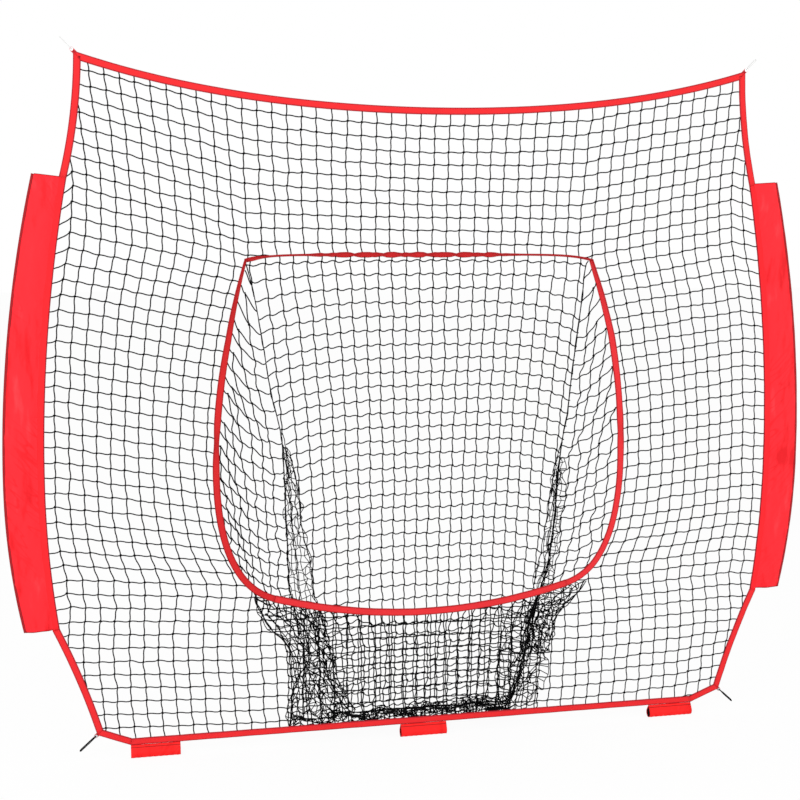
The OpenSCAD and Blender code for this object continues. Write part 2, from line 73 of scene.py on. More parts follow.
def standing(right, up, back, place):
    """The matrix whose columns are a thing's right side, its top, its back and its place."""
    return Matrix([[right[k], up[k], back[k], place[k]] for k in range(3)] + [[0, 0, 0, 1]])


def aim(yaw, pitch, roll):
    """Forward is (sin yaw cos pitch, cos yaw cos pitch, sin pitch). The level right and up turn by roll."""
    forward = np.array([math.sin(yaw) * math.cos(pitch), math.cos(yaw) * math.cos(pitch), math.sin(pitch)])
    level = np.array([math.cos(yaw), -math.sin(yaw), 0.0])
    above = np.cross(level, forward)
    right = math.cos(roll) * level + math.sin(roll) * above
    up = math.cos(roll) * above - math.sin(roll) * level
    return right, up, forward


def make_camera(place, yaw, pitch, roll, lens):
    right, up, forward = aim(math.radians(yaw), math.radians(pitch), math.radians(roll))
    data = bpy.data.cameras.new("camera")
    data.lens, data.sensor_width = lens, 36.0
    camera = put_in_scene("camera", data)
    camera.matrix_world = standing(right, up, -forward, place)
    bpy.context.scene.camera = camera
    return camera


camera = make_camera((-0.9462, -4.0222, 1.6556), 12.106, -7.587, 0.223, 58.5)
print("camera at", [round(v, 3) for v in camera.location])

# %% [markdown]
# ## Meshes from arrays
# Blender keeps a mesh as flat lists: the points, the corners of all faces one after
# another, and where each face starts. `foreach_set` fills such a list from a numpy array
# in one call, which is why a net of a hundred thousand faces is still made in a moment.
# Every piece also gets a UV map, in metres along it and in shares across it, so that
# weave, twist and stitches follow the cloth and the cord.

# %% A piece from points, faces and UV
def unit(v):
    return v / np.maximum(np.linalg.norm(v, axis=-1, keepdims=True), 1e-12)


def mix(a, b, t):
    return a + (b - a) * t


def new_piece(name, points, faces, uvs):
    """Points are rows of x, y, z. An array of faces has a face a row, its array of uvs a (u, v) a corner."""
    corners = np.concatenate([f.ravel() for f in faces]).astype(np.int32)
    sizes = np.concatenate([np.full(len(f), f.shape[1]) for f in faces])
    starts = (np.cumsum(sizes) - sizes).astype(np.int32)
    mesh = bpy.data.meshes.new(name)
    mesh.vertices.add(len(points))
    mesh.vertices.foreach_set("co", np.asarray(points, np.float32).ravel())
    mesh.loops.add(len(corners))
    mesh.loops.foreach_set("vertex_index", corners)
    mesh.polygons.add(len(starts))
    mesh.polygons.foreach_set("loop_start", starts)
    mesh.update(calc_edges=True)
    mesh.polygons.foreach_set("use_smooth", np.ones(len(starts), bool))
    layer = mesh.uv_layers.new(name="UVMap")
    layer.uv.foreach_set("vector", np.concatenate([u.reshape(-1, 2) for u in uvs]).astype(np.float32).ravel())
    return put_in_scene(name, mesh)


def fit(piece, body, node):
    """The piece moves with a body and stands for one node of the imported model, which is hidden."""
    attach(piece, body)
    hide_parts(node)
    return piece


def triangles(piece):
    return sum(len(p.vertices) - 2 for p in piece.data.polygons)


# %% [markdown]
# ## Cord and twine
# All twine, cord and tape is a profile carried along a line. At each point of the line
# two directions stand square to it, and the ring of the profile is drawn in them. All
# lines of a net are strung into one long array, and faces are only made between points
# of the same line, so one call ties a whole net.

# %% Carry a ring along many lines
def carry(lines, radius, sides=6, aside=(0, 1, 0)):
    """Ring point k at line point i is line(i) + radius(i) (u cos a + v sin a), with a = 2 pi k / sides,
    u square to the line and to `aside`, and v square to both. The ends are closed with flat faces."""
    counts = np.array([len(line) for line in lines])
    places = np.concatenate(lines)
    along = unit(np.concatenate([np.gradient(line, axis=0) for line in lines]))
    u = unit(np.cross(along, np.asarray(aside, float)))
    v = np.cross(along, u)
    turn = 2 * np.pi * np.arange(sides) / sides
    radii = np.broadcast_to(np.asarray(radius, float), len(places))[:, None, None]
    ring = np.cos(turn)[:, None] * u[:, None] + np.sin(turn)[:, None] * v[:, None]
    rings = places[:, None] + radii * ring
    last = np.cumsum(counts) - 1
    first = last - counts + 1
    inner = np.setdiff1d(np.arange(len(places)), last)
    k = np.arange(sides)
    a, b = inner[:, None] * sides + k, inner[:, None] * sides + (k + 1) % sides
    quads = np.stack([a, b, b + sides, a + sides], -1).reshape(-1, 4)
    step = np.linalg.norm(np.diff(places, axis=0, prepend=places[:1]), axis=1)
    step[first] = 0
    run = np.cumsum(step)
    u0, u1 = [np.repeat(run[i], sides) for i in (inner, inner + 1)]
    v0, v1 = [np.tile((k + d) / sides, len(inner)) for d in (0, 1)]
    quad_uv = np.stack([np.stack(p, -1) for p in ((u0, v0), (u0, v1), (u1, v1), (u1, v0))], 1)
    ends = np.concatenate([(first[:, None] * sides + k)[:, ::-1], last[:, None] * sides + k])
    end_uv = np.zeros(ends.shape + (2,))
    return rings.reshape(-1, 3), [quads, ends], [quad_uv, end_uv]


def joined(parts):
    """Several (points, faces, uvs) as one, with the later faces counted on from the earlier points."""
    points, faces, uvs, base = [], [], [], 0
    for p, f, u in parts:
        points.append(p)
        faces += [x + base for x in f]
        uvs += u
        base += len(p)
    return np.concatenate(points), faces, uvs


# %% [markdown]
# ## The four corner loops
# Each corner of the net has an eyelet with a loop of elastic cord in it. The lower loops
# are black and hook onto the base frame; the upper ones are thin and pale, for the tips
# of the bow poles. A loop is a doubled run with a half turn at each end, so its middle
# line is a stadium, and it twists a little on its way out. It is one closed length of cord
# that the eyelet holds, and its real length is printed.

# %% Corner loops
TAPE_DEPTH = 0.0046  # a folded tape with the netting in it
TAB_Y = TAPE_DEPTH / 2 + 0.0008
EYELET_OUT = 0.006  # the eyelet's middle beyond the corner
EYELET_HOLE = 0.0028  # its hole's radius
TWIST = {-1: 6, 1: 19}  # degrees that a loop twists by, on the net's left and on its right
LOW_CORNER, TOP_CORNER = np.array([1.052, HEM + 0.041]), np.array([1.067, HEM + 2.137])


def loop_line(length, thickness):
    """A stadium in (out, y) from the eyelet: runs at y = +-bend joined by half circles of radius bend."""
    bend = 0.0014 + thickness / 2 + 0.0018
    near = EYELET_HOLE - thickness / 2 - 0.0004 + bend
    run = length - 2 * bend
    half = math.pi * bend
    total = 2 * run + 2 * math.pi * bend
    s = np.linspace(0, total, 64)
    stretch = [s < half, s < half + run, s < 2 * half + run]
    start, far = s / bend - math.pi / 2, (s - half - run) / bend  # the angles in the two half circles
    out = np.select(stretch, [near - bend * np.cos(start), near + s - half, near + run + bend * np.sin(far)],
                    near + run - (s - 2 * half - run))
    y = np.select(stretch, [bend * np.sin(start), bend + 0 * s, bend * np.cos(far)], -bend)
    return out, y, total


def corner_loop(name, side, corner, angle, length, thickness):
    """The stadium leaves its corner at an angle and, beyond the eyelet, twists about its own middle line."""
    out, y, total = loop_line(length, thickness)
    turn = math.radians(angle)
    reach = EYELET_OUT + out
    twist = math.radians(TWIST[side]) * np.clip((out - 0.006) / (0.3 * length), 0, 1)
    y, aside = y * np.cos(twist), y * np.sin(twist)
    line = np.stack([side * (corner[0] + reach * math.cos(turn) - aside * math.sin(turn)), TAB_Y + y,
                     corner[1] + reach * math.sin(turn) + aside * math.cos(turn)], -1)
    square = (-side * math.sin(turn), 0, math.cos(turn))
    loop = new_piece(name, *carry([line], thickness / 2, 12, square))
    fit(loop, name, name)
    print(name, "cord of", round(total * 1000, 1), "mm")
    return loop


loops = [corner_loop(f"{row}_{name}_loop", side, corner, angle, length, thickness)
         for row, corner, angle, length, thickness in (("low", LOW_CORNER, -42, 0.066, 0.0036),
                                                       ("top", TOP_CORNER, 46, 0.046, 0.002))
         for name, side in (("left", -1), ("right", 1))]

# %% [markdown]
# ## Outlines
# The border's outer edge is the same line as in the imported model: the hem, two cut
# corners, the lower and upper borders drawn in a little, the bowed sides and a top that
# sags like a parabola. The opening's edge is made in the same way. Both are sampled
# finely, and the index of each corner is kept, because one length of tape ends there and
# the next begins.

# %% Outline of the border and of the opening
TAPE_W = 0.0225
HEM_HALF = 0.950  # half the hem's length
SLEEVE_FOOT_Z, BELLY_Z, SLEEVE_TOP_Z = HEM + 0.386, HEM + 0.830, HEM + 1.771
SEAM_X = (1.096, 1.186, 1.155)  # half the width at the sleeves' seams: at their top, belly and foot
OUTER_X = (1.197, 1.309, 1.263)  # half the width at the sleeves' outer edges, at the same heights
TOP_SAG, TOP_FLAT = 0.139, 0.2
RIM_CORNER, RIM_BELLY = (0.560, 1.524), (0.669, 0.865)  # half the opening's width, height above the hem
RIM_FOOT = 0.380  # the opening's foot above the hem


def bez(points, t):
    """A Bezier curve by de Casteljau: neighbours are mixed by t until one point is left."""
    rows = [np.asarray(p, float)[None] + 0 * t[:, None] for p in points]
    while len(rows) > 1:
        rows = [mix(a, b, t[:, None]) for a, b in zip(rows, rows[1:])]
    return rows[0]


def bow(z, end, belly):
    """x falls off from the belly's by the square of the distance in height, down to the end's."""
    return belly[0] - (belly[0] - end[0]) * ((z - belly[1]) / (end[1] - belly[1])) ** 2


def half_width(z, top, belly, foot):
    """Half a width that is largest at the belly and bows in towards the sleeves' tops and feet."""
    ends = (top, SLEEVE_TOP_Z), (foot, SLEEVE_FOOT_Z)
    above, below = [bow(z, end, (belly, BELLY_Z)) for end in ends]
    return np.where(z > BELLY_Z, above, below)


def inner_x(z):
    """Half width of the netting beside the sleeves."""
    return half_width(z, *SEAM_X)


def outer_x(z):
    """Half width out to the sleeves' outer edge."""
    return half_width(z, *OUTER_X)


def drawn_in(a, b, draw, steps):
    """The points after a on a curve to b whose middle is drawn in."""
    t = np.arange(1, steps + 1) / steps
    return bez([a, (np.asarray(a) + b) / 2 - [draw, 0], b], t)


def border_outline():
    """The outer edge anticlockwise from the hem's right end, and the index of each corner on the way."""
    base = np.array([HEM_HALF, HEM])
    foot, top = np.array([SEAM_X[2] + TAPE_W, SLEEVE_FOOT_Z]), np.array([SEAM_X[0] + TAPE_W, SLEEVE_TOP_Z])
    z = np.linspace(SLEEVE_FOOT_Z, SLEEVE_TOP_Z, 97)[1:]
    corner = mix(base, LOW_CORNER, np.linspace(0, 1, 9)[1:, None])
    beside = np.stack([inner_x(z) + TAPE_W, z], -1)
    parts = [base[None], corner, drawn_in(LOW_CORNER, foot, 0.014, 24), beside,
             drawn_in(top, TOP_CORNER, 0.022, 24)]
    right = np.concatenate(parts)
    marks = np.cumsum([len(p) for p in parts]) - 1
    u = np.linspace(1, -1, 129)[1:-1]
    across = np.stack([TOP_CORNER[0] * u, TOP_CORNER[1] - TOP_SAG * (1 - mix(u ** 2, u ** 4, TOP_FLAT))], -1)
    n = len(right) + len(across)
    left = (right * [-1, 1])[::-1]
    far = [n + len(right) - 1 - m for m in marks]
    hem = mix(left[-1], right[0], np.linspace(0, 1, 97)[1:-1, None])
    return np.concatenate([right, across, left, hem]), list(marks), far


def rim_outline():
    """The middle line of the tape round the opening, anticlockwise from the low end of its right side."""
    corner, belly = [np.array([x, HEM + z]) for x, z in (RIM_CORNER, RIM_BELLY)]
    foot_z = HEM + RIM_FOOT
    turn = np.array([2 * belly[0] * 0.365, foot_z + 0.070])
    rise, reach = (belly[1] - foot_z) * 0.37, (belly[0] - turn[0]) * 0.8
    t = np.linspace(0, 1, 33)
    low = bez([turn, turn + [reach, reach * 0.29], belly - [0, rise], belly], t)
    z = np.linspace(belly[1], corner[1], 49)[1:]
    right = np.concatenate([low, np.stack([bow(z, corner, belly), z], -1)])
    u = np.linspace(1, -1, 97)[1:-1]
    over = np.stack([corner[0] * u, corner[1] + 0.0175 * (1 - np.abs(u) ** 9)], -1)
    under = bez([turn * [-1, 1], (0, 2 * foot_z - turn[1]), turn], np.linspace(0, 1, 65)[1:-1])
    at = [0, len(right) - 1, len(right) + len(over), 2 * len(right) + len(over) - 1]
    line = np.concatenate([right, over, (right * [-1, 1])[::-1], under])
    return pulled_left(line), at


def pulled_left(line):
    """The opening's top hangs a little to the left of the middle, and its sides less and less so."""
    left = 0.010 * np.clip((line[:, 1] - HEM - 1.28) / 0.24, 0, 1)
    return line - np.stack([left, 0 * left], -1)


def mitres(outline):
    """At each corner the step inwards that is one wide square to both edges: (na + nb) / (1 + na . nb)."""
    edge = unit(np.roll(outline, -1, 0) - outline)
    before = np.roll(edge, 1, 0)
    na, nb = [np.stack([-e[:, 1], e[:, 0]], -1) for e in (before, edge)]
    return (na + nb) / (1 + (na * nb).sum(1, keepdims=True))


outline, right_marks, left_marks = border_outline()
rim, rim_marks = rim_outline()
border_in, rim_in = mitres(outline), mitres(rim)
print("outline", len(outline), "points, opening", len(rim), "points")

# %% [markdown]
# ## How the netting lies
# The netting was cut from one flat piece of 45 mm squares. Sewn into its border it keeps
# its squares but not their straight rows: along the sides the rows rise towards the
# sleeves, they bend at the columns over the opening's corners, and the columns beside the
# opening are pushed out by its round sides. So a knot's place is a function of its column
# and its row. Between two knots the twine is straight but for a small wave, and a random
# shift of every knot keeps the net from looking ruled.

# %% Where a knot of the flat netting lies
MESH = 0.046
KINK = 12  # the columns that run down to the opening's upper corners
EDGE = 24  # the outermost columns that run over most of the height
OFF_CENTRE = -0.023  # the middle column hangs half a square left of the middle
AT_ROW = (-22, -15, -11, -7, 0, 8, 15, 23)
TILT = (-0.002, 0.000, 0.004, 0.007, 0.0105, 0.0105, 0.0105, 0.0105)  # a row falls to the right, by the metre
RISE = (0.032, 0.016, 0.006, 0.003, 0.010, 0.015, 0.019, 0.012)  # of a row at the outermost column
FALL = (0.0022, 0.0025, 0.0040, 0.0055, 0.0067, 0.0073, 0.0096, 0.0094)  # of a row by the column, inwards
TURN_DOWN = (0.00, 0.15, 0.30, 0.12, 0.05, 0.35, 0.75, 0.25)  # of a row beyond that column, by the mesh
OVER_Z = (1.50, 1.56, 1.75, 1.95, 2.05)
BULGE = (0.000, 0.022, 0.016, 0.011, 0.009)  # of the columns over the opening, outwards
SHIFT = (0.000, -0.005, -0.003, 0.003, 0.010)  # of the columns over the opening, to the right
UNDER_Z = (0.03, 0.09, 0.165, 0.23, 0.30, 0.39, 0.435, 0.48)
SWING = (-0.009, -0.001, 0.0, 0.005, 0.007, 0.002, -0.004, -0.014)  # of the columns under it, outwards


def side_of_rim(z):
    """Half width of the opening at height z above the hem, for where it pushes the columns outwards."""
    wide, belly_z = RIM_BELLY
    down = wide - 0.125 * np.clip((belly_z - z) / 0.398, 0, 1) ** 3.2
    return np.where(z > belly_z, bow(z, RIM_CORNER, RIM_BELLY), down)


def push_at(z, share):
    """The opening pushes the columns beside it outwards. Above it they come back by 40 mm and spread again up
    to the top border; below its foot they come back, swing out a little and draw in again towards the hem."""
    above = -0.040 * np.clip((2.03 - z) / 0.469, -0.2, 1)
    beside = side_of_rim(z) - 0.587 - 0.013 * np.clip((RIM_BELLY[1] - z) / 0.15, 0, 1)
    beside = np.maximum(beside, np.where(z < RIM_BELLY[1], -0.014 + 0.022 * share, -0.1))
    return np.select([z > 1.561, z > UNDER_Z[-1]], [above, beside], np.interp(z, UNDER_Z, SWING))


def net_place(column, row):
    """x and z of the knots by column and row. A row falls from the outermost column to the kink by FALL a
    column, turns down beyond the outermost column, on the left more than on the right, and the rows above the
    opening sag in their middle. A column is a multiple of the mesh from the middle one, pushed by the
    opening, less so the further out it is, and drawn in below the sleeves' tops."""
    c = np.abs(column)
    rise, fall, tilt, turn_down = [np.interp(row, AT_ROW, v) for v in (RISE, FALL, TILT, TURN_DOWN)]
    sag = 0.0042 * np.maximum(row - 15, 0) * (1 - np.clip(c / KINK, 0, 1) ** 2)
    z = 1.035 + 0.0453 * row + rise - fall * np.clip(EDGE - c, 0, EDGE - KINK) - sag
    z = z - turn_down * np.where(column > 0, 0.3, 1.0) * MESH * np.maximum(c - EDGE, 0)
    share = np.clip((c - KINK) / (EDGE - KINK), 0, 1.2)
    reach = np.where(z < 1.76, 0.25, 0.33)
    drawn = 0.040 * share ** 2 * np.exp(-(((z - 1.76) / reach) ** 2))
    hold = 0.665 - 0.115 * np.clip((0.865 - z) / 0.15, 0, 1) - 0.55 * np.clip((0.48 - z) / 0.08, 0, 1)
    out = MESH * c + np.clip(c / KINK, 0, 1) * push_at(z, share) * (1 - hold * share) - drawn
    over = np.clip((16 - c) / 4, 0, 1)
    out = out + over * np.minimum(c / 8, 1) * np.interp(z, OVER_Z, BULGE)
    corner = np.clip((c - 20) / 4, 0, 1) * np.clip((0.30 - z) / 0.15, 0, 1)
    x = OFF_CENTRE + np.sign(column) * (out - 0.009 * corner) + over * np.interp(z, OVER_Z, SHIFT)
    z = z + 0.013 * corner * (column > 0)
    return x, z - tilt * x + HEM


FIRST_COLUMN, FIRST_ROW = -28, -26
net_columns, net_rows = np.meshgrid(np.arange(FIRST_COLUMN, 29), np.arange(FIRST_ROW, 29), indexing="ij")
net_knots = np.stack(net_place(net_columns, net_rows), -1)
net_knots = net_knots + random.normal(0, 0.0013, net_knots.shape)


def between_knots(column, row):
    """The place on the netting at part columns and rows: the four knots round it, mixed by the shares."""
    i, j = np.floor(column).astype(int), np.floor(row).astype(int)
    f, g = (column - i)[..., None], (row - j)[..., None]
    i, j = i - FIRST_COLUMN, j - FIRST_ROW
    near, far = [mix(net_knots[i, row], net_knots[i + 1, row], f) for row in (j, j + 1)]
    return mix(near, far, g)


def inside(x, z, polygon):
    """Whether places lie in a closed outline: an odd number of its edges lie to the right of them."""
    x0, z0 = polygon[:, 0], polygon[:, 1]
    x1, z1 = np.roll(x0, -1), np.roll(z0, -1)
    shape = np.shape(x)
    x, z = np.ravel(x)[:, None], np.ravel(z)[:, None]
    between = (z0 > z) != (z1 > z)
    cross = x0 + (z - z0) * (x1 - x0) / np.where(z1 == z0, 1e-9, z1 - z0)
    return ((between & (x < cross)).sum(1) % 2 == 1).reshape(shape)


net_limit = outline + border_in * TAPE_W / 2
print("netting: knots of the middle row from", net_knots[4, 26].round(3), "to", net_knots[52, 26].round(3))

# %% [markdown]
# ## Tying the netting
# A strand is sampled five times in each square. The samples inside the border and outside
# the opening are kept, and every unbroken run of them is one length of twine whose ends
# lie hidden in the folded tape. Knots are small lumps with two lobes, turned at random:
# they have only a few dozen faces each, because there are fifteen hundred of them.

# %% Strands and knots
TWINE = 0.0038
SAMPLES = 5  # places on a strand for each square


def wave(share, seed, sag, sway):
    """Between two knots a strand hangs by sag (2f - 1) squared and sways once by sway sin 2 pi f."""
    whole = np.floor(share)
    f = share - whole
    swing = np.sin(whole * 12.9898 + seed * 78.233) * 43758.5453
    swing = (swing - np.floor(swing)) * 1.2 + 0.4
    return -sag * (1 - (2 * f - 1) ** 2) * swing + sway * np.sin(2 * np.pi * f)


def knots(places, size):
    """A ball whose radius goes up and down twice round it, for each knot, lying along the net's X but for a
    random turn."""
    sides, belts = 8, 3
    a = 2 * np.pi * np.arange(sides) / sides
    b = np.pi * (np.arange(belts) + 1) / (belts + 1)
    lobe = 1 + 0.28 * np.cos(2 * a)[None]
    ball = np.stack([np.sin(b)[:, None] * np.cos(a) * lobe, np.sin(b)[:, None] * np.sin(a) * lobe,
                     np.cos(b)[:, None] * np.ones_like(lobe) * 1.15], -1).reshape(-1, 3)
    ball = np.concatenate([ball, [[0, 0, 1.15], [0, 0, -1.15]]])
    n = len(places)
    across = unit([1.0, 0, 0] + random.normal(0, 0.35, (n, 3)))
    side = unit(np.cross(across, np.array([0, 1, 0]) + random.normal(0, 0.2, (n, 3))))
    depth = np.cross(side, across)
    scale = size * random.uniform(0.85, 1.2, (n, 1, 1))
    out, aside, up = ball.T[:, None, :, None]
    lump = out * depth[:, None] * 0.8 + aside * side[:, None] + up * across[:, None]
    k = np.arange(sides)
    after = (k + 1) % sides
    belt = np.stack([k, sides + k, sides + after, after], -1)
    quads = np.concatenate([i * sides + belt for i in range(belts - 1)])
    top, low, last = sides * belts, sides * belts + 1, sides * (belts - 1)
    over, under = np.stack([0 * k + top, k, after], -1), np.stack([0 * k + low, last + after, last + k], -1)
    fans = np.concatenate([over, under])
    base = (np.arange(n) * len(ball))[:, None, None]
    faces = [(quads[None] + base).reshape(-1, 4), (fans[None] + base).reshape(-1, 3)]
    return ((places[:, None] + scale * lump).reshape(-1, 3), faces,
            [np.stack([f % 97 * 0.002, f % 13 / 13], -1) for f in faces])


def stretches(stay):
    """Where each unbroken stretch of yes in a row of yes and no starts and stops."""
    return np.flatnonzero(np.diff(np.concatenate([[0], stay.astype(int), [0]]))).reshape(-1, 2)


def meet(kept, inner, outer):
    """The last place on the way from inner to outer for which `kept` says yes, by halving."""
    for _ in range(8):
        middle = (inner + outer) / 2
        inner, outer = (middle, outer) if kept(middle[None])[0] else (inner, middle)
    return inner


def cut_line(kept, line):
    """The stretches of a line for which `kept` says yes, each drawn out to the place where that stops."""
    pieces = []
    for a, b in stretches(kept(line)):
        ends = [meet(kept, line[i], line[o]) for i, o in ((a, a - 1), (b - 1, b)) if 0 <= o < len(line)]
        head = [ends[0]] if a > 0 and np.linalg.norm(ends[0] - line[a]) > 2e-4 else []
        tail = [ends[-1]] if b < len(line) and np.linalg.norm(ends[-1] - line[b - 1]) > 2e-4 else []
        if b - a >= 2:
            pieces.append(np.array([*head, *line[a:b], *tail]))
    return pieces


def flat_point(column, row):
    place = between_knots(column, row)
    return np.stack([place[..., 0], 0 * place[..., 0], place[..., 1]], -1)


def flat_strands():
    """All rows and columns of the flat netting as arrays of points, from beyond one border to the other."""
    reach = np.arange(-27 * SAMPLES, 27 * SAMPLES + 1) / SAMPLES
    rows = []
    for row in range(-24, 27):
        line = flat_point(reach, 0 * reach + row)
        line[:, 2] += wave(reach, row, 0.0012, 0.0014)
        rows.append(line)
    climb = np.arange(-24 * SAMPLES, 26 * SAMPLES + 1) / SAMPLES
    columns = []
    for column in range(-26, 27):
        line = flat_point(0 * climb + column, climb)
        line[:, 0] += wave(climb, column + 100, 0.0006, 0.0012)
        columns.append(line)
    return rows + columns


def in_net(points, clear=0.0):
    """Whether places lie between the middle lines of the border and the opening's tape, or clear of both."""
    x, z = points[..., 0], points[..., 2]
    return inside(x, z, net_limit + border_in * clear) & ~inside(x, z, rim - rim_in * clear)


SPLIT = 0.540  # half the width of the netting over and under the opening


def window(name, points):
    """Which places belong to one of the four stretches of netting."""
    middle, high = np.abs(points[:, 0]) < SPLIT, points[:, 2] > HEM + RIM_BELLY[1]
    return {"net_left": points[:, 0] <= -SPLIT, "net_right": points[:, 0] >= SPLIT,
            "net_above_target": middle & high, "net_below_target": middle & ~high}[name]


def pairs(a, b):
    """Every number of a with every number of b, as two flat arrays."""
    return [v.ravel() for v in np.meshgrid(a, b, indexing="ij")]


strands = [piece for line in flat_strands() for piece in cut_line(in_net, line)]
knot_places = flat_point(*pairs(np.arange(-26.0, 27), np.arange(-24.0, 27)))
knot_places = knot_places[in_net(knot_places, TAPE_W / 2 + 0.002)]


def tie_netting(name):
    """The steps of each strand whose middle lies in this stretch of netting, and the knots that lie in it."""
    lines = [line[a:b + 1] for line in strands
             for a, b in stretches(window(name, (line[1:] + line[:-1]) / 2))]
    here = knot_places[window(name, knot_places)]
    piece = new_piece(name + "_twine", *joined([carry(lines, TWINE / 2), knots(here, 0.0038)]))
    print(name, len(lines), "lengths of twine,", len(here), "knots,", triangles(piece), "triangles")
    return fit(piece, "net", name)


netting = [tie_netting(name) for name in ("net_left", "net_right", "net_above_target", "net_below_target")]

# %% [markdown]
# ## Border tape and the tape round the opening
# The tape is woven, 22 mm wide once folded over the edge of the netting. Its section is a
# flat loop with round edges. It could be extruded as a curve, but a section that is
# carried along the mitred outline gives clean diagonal corners where two lengths meet.
# Round the opening the tape also twists: across the top it lies edge on, with a puckered
# stretch in the middle, and it turns flat down the sides.

# %% Tape along an outline
def section(width, depth):
    """A flat loop: two straight faces joined by half circles, as (share of width, y), anticlockwise."""
    r = depth / 2
    a = np.linspace(-np.pi / 2, np.pi / 2, 5)
    out = np.stack([width - r + r * np.cos(a), r * np.sin(a)], -1)
    flat = np.linspace(width - r, r, 5)[1:-1]
    face = np.stack([flat, np.full(3, r)], -1)
    return np.concatenate([out, face, out[::-1] * [-1, 1] + [width, 0], face[::-1] * [1, -1]])


def distance_along(points):
    """The way along a line from its first point to each of its points."""
    return np.concatenate([[0], np.cumsum(np.linalg.norm(np.diff(points, axis=0), axis=1))])


def loft(rings, closed_uv):
    """Faces between rings of points, with closed ends. The UV runs along in metres and round in shares."""
    n, m = rings.shape[:2]
    i, k = pairs(np.arange(n - 1), np.arange(m))
    k2 = (k + 1) % m
    quads = np.stack([i * m + k, i * m + k2, (i + 1) * m + k2, (i + 1) * m + k], -1)
    run = distance_along(rings.mean(1))
    round_face = (i, k), (i, k2), (i + 1, k2), (i + 1, k)
    uv = np.stack([np.stack([run[a], closed_uv[b]], -1) for a, b in round_face], 1)
    ends = np.stack([np.arange(m)[::-1], (n - 1) * m + np.arange(m)])
    return rings.reshape(-1, 3), [quads, ends], [uv, np.zeros((2, m, 2))]


def outward(points, faces, uvs):
    """The same shape with its faces turned over if its volume comes out negative."""
    volume = 0.0
    for f in faces:
        for k in range(1, f.shape[1] - 1):
            volume += (points[f[:, 0]] * np.cross(points[f[:, k]], points[f[:, k + 1]])).sum()
    if volume > 0:
        return points, faces, uvs
    return points, [f[:, ::-1] for f in faces], [u[:, ::-1] for u in uvs]


def tape(name, line, inward, start, stop, slot="border", twist=None, begin=0.0, width=TAPE_W, depth=0.0054,
         ripple=0.0004):
    """The section at outline point i has its width along the inward step, from `begin`, and its depth along
    Y. Twist turns it about its middle; ripple moves it a little out of the plane."""
    i = np.arange(start, stop + 1) % len(line)
    at, step = line[i], inward[i]
    flat = section(width, depth)
    run = distance_along(at)
    angle = np.zeros(len(i)) if twist is None else twist(run / run[-1])
    turn, rise = np.cos(angle)[:, None], np.sin(angle)[:, None]
    across = flat[None, :, 0] - width / 2
    d = turn * across - rise * flat[None, :, 1] + width / 2 + begin
    y = rise * across + turn * flat[None, :, 1]
    y = y + ripple * (np.sin(run * 41 + start) + 0.6 * np.sin(run * 97 + 2.1 * start))[:, None]
    y = y + 0.35 * ripple * np.sin(run * 260)[:, None] * np.sign(flat[None, :, 1])
    rings = np.stack([at[:, None, 0] + step[:, None, 0] * d, y, at[:, None, 1] + step[:, None, 1] * d], -1)
    return fit(new_piece(name + "_tape", *outward(*loft(rings, flat[:, 0] / width))), "net", name)


# %% The border's ten lengths
hem_r, low_r, foot_r, sleeve_r, top_r = right_marks
hem_l, low_l, foot_l, sleeve_l, top_l = left_marks
lengths = {
    "right_corner_border": (hem_r, low_r), "right_lower_border": (low_r, foot_r),
    "right_sleeve_seam": (foot_r, sleeve_r), "right_upper_border": (sleeve_r, top_r),
    "top_border": (top_r, top_l),
    "left_upper_border": (top_l, sleeve_l), "left_sleeve_seam": (sleeve_l, foot_l),
    "left_lower_border": (foot_l, low_l), "left_corner_border": (low_l, hem_l),
    "bottom_border": (hem_l, len(outline)),
}
border = [tape(name, outline, border_in, a, b) for name, (a, b) in lengths.items()]
print("border tape in", len(border), "lengths")


# %% The tape round the opening
def edge_on(t):
    """Across the top the tape lies edge on, but it puckers open in its middle and opens at its left end."""
    puckered = np.exp(-(((t - 0.53) / 0.27) ** 8))
    opened = np.exp(-(((t - 0.985) / 0.03) ** 2))
    pucker = 0.56 + 0.22 * np.sin(t * 88) + 0.14 * np.sin(t * 151) + 0.10 * np.sin(t * 367)
    return math.radians(82) - puckered * pucker - 0.45 * opened


def flattening(top_first, start):
    """Down a side the tape starts turned at the upper corner and lies flat from about a third of the way on.
    Half way down it turns a little on a short stretch."""
    def twist(t):
        s = t if top_first else 1 - t
        half_way = np.exp(-(((s - 0.50) / 0.045) ** 2))
        return math.radians(start) * np.clip(1 - s / 0.36, 0, 1) + math.radians(44) * half_way
    return twist


def rim_tape(name, start, stop, width=0.0222, depth=0.0052, **form):
    """A length of the opening's tape, whose middle line is the opening's outline."""
    return tape("target_rim_" + name, rim, rim_in, start, stop, slot="trim", begin=-width / 2, width=width,
                depth=depth, **form)


low_right, top_right, top_left, low_left = rim_marks
rim_tapes = [
    rim_tape("right", low_right, top_right, twist=flattening(False, 76)),
    rim_tape("top", top_right, top_left, twist=edge_on, depth=0.0050, ripple=0.0010),
    rim_tape("left", top_left, low_left, twist=flattening(True, 72)),
    rim_tape("foot", low_left, len(rim), width=0.0245, ripple=0.0007),
]
print("tape round the opening in", len(rim_tapes), "lengths")

# %% [markdown]
# ## The side sleeves
# A sleeve is two cloths, sewn to the border tape on the net's side and hemmed together on
# the outer side, and a bow pole opens them a little. A subdivided plane with a cloth
# simulation would also do, but the cloth is held along both long edges, so its form is
# nearly fixed: a swelling in the middle, and wrinkles that run slantwise from the ends
# where the pole leaves. Each cloth is a grid of points with its own thickness.

# %% Cloth with a thickness
CLOTH = 0.0008


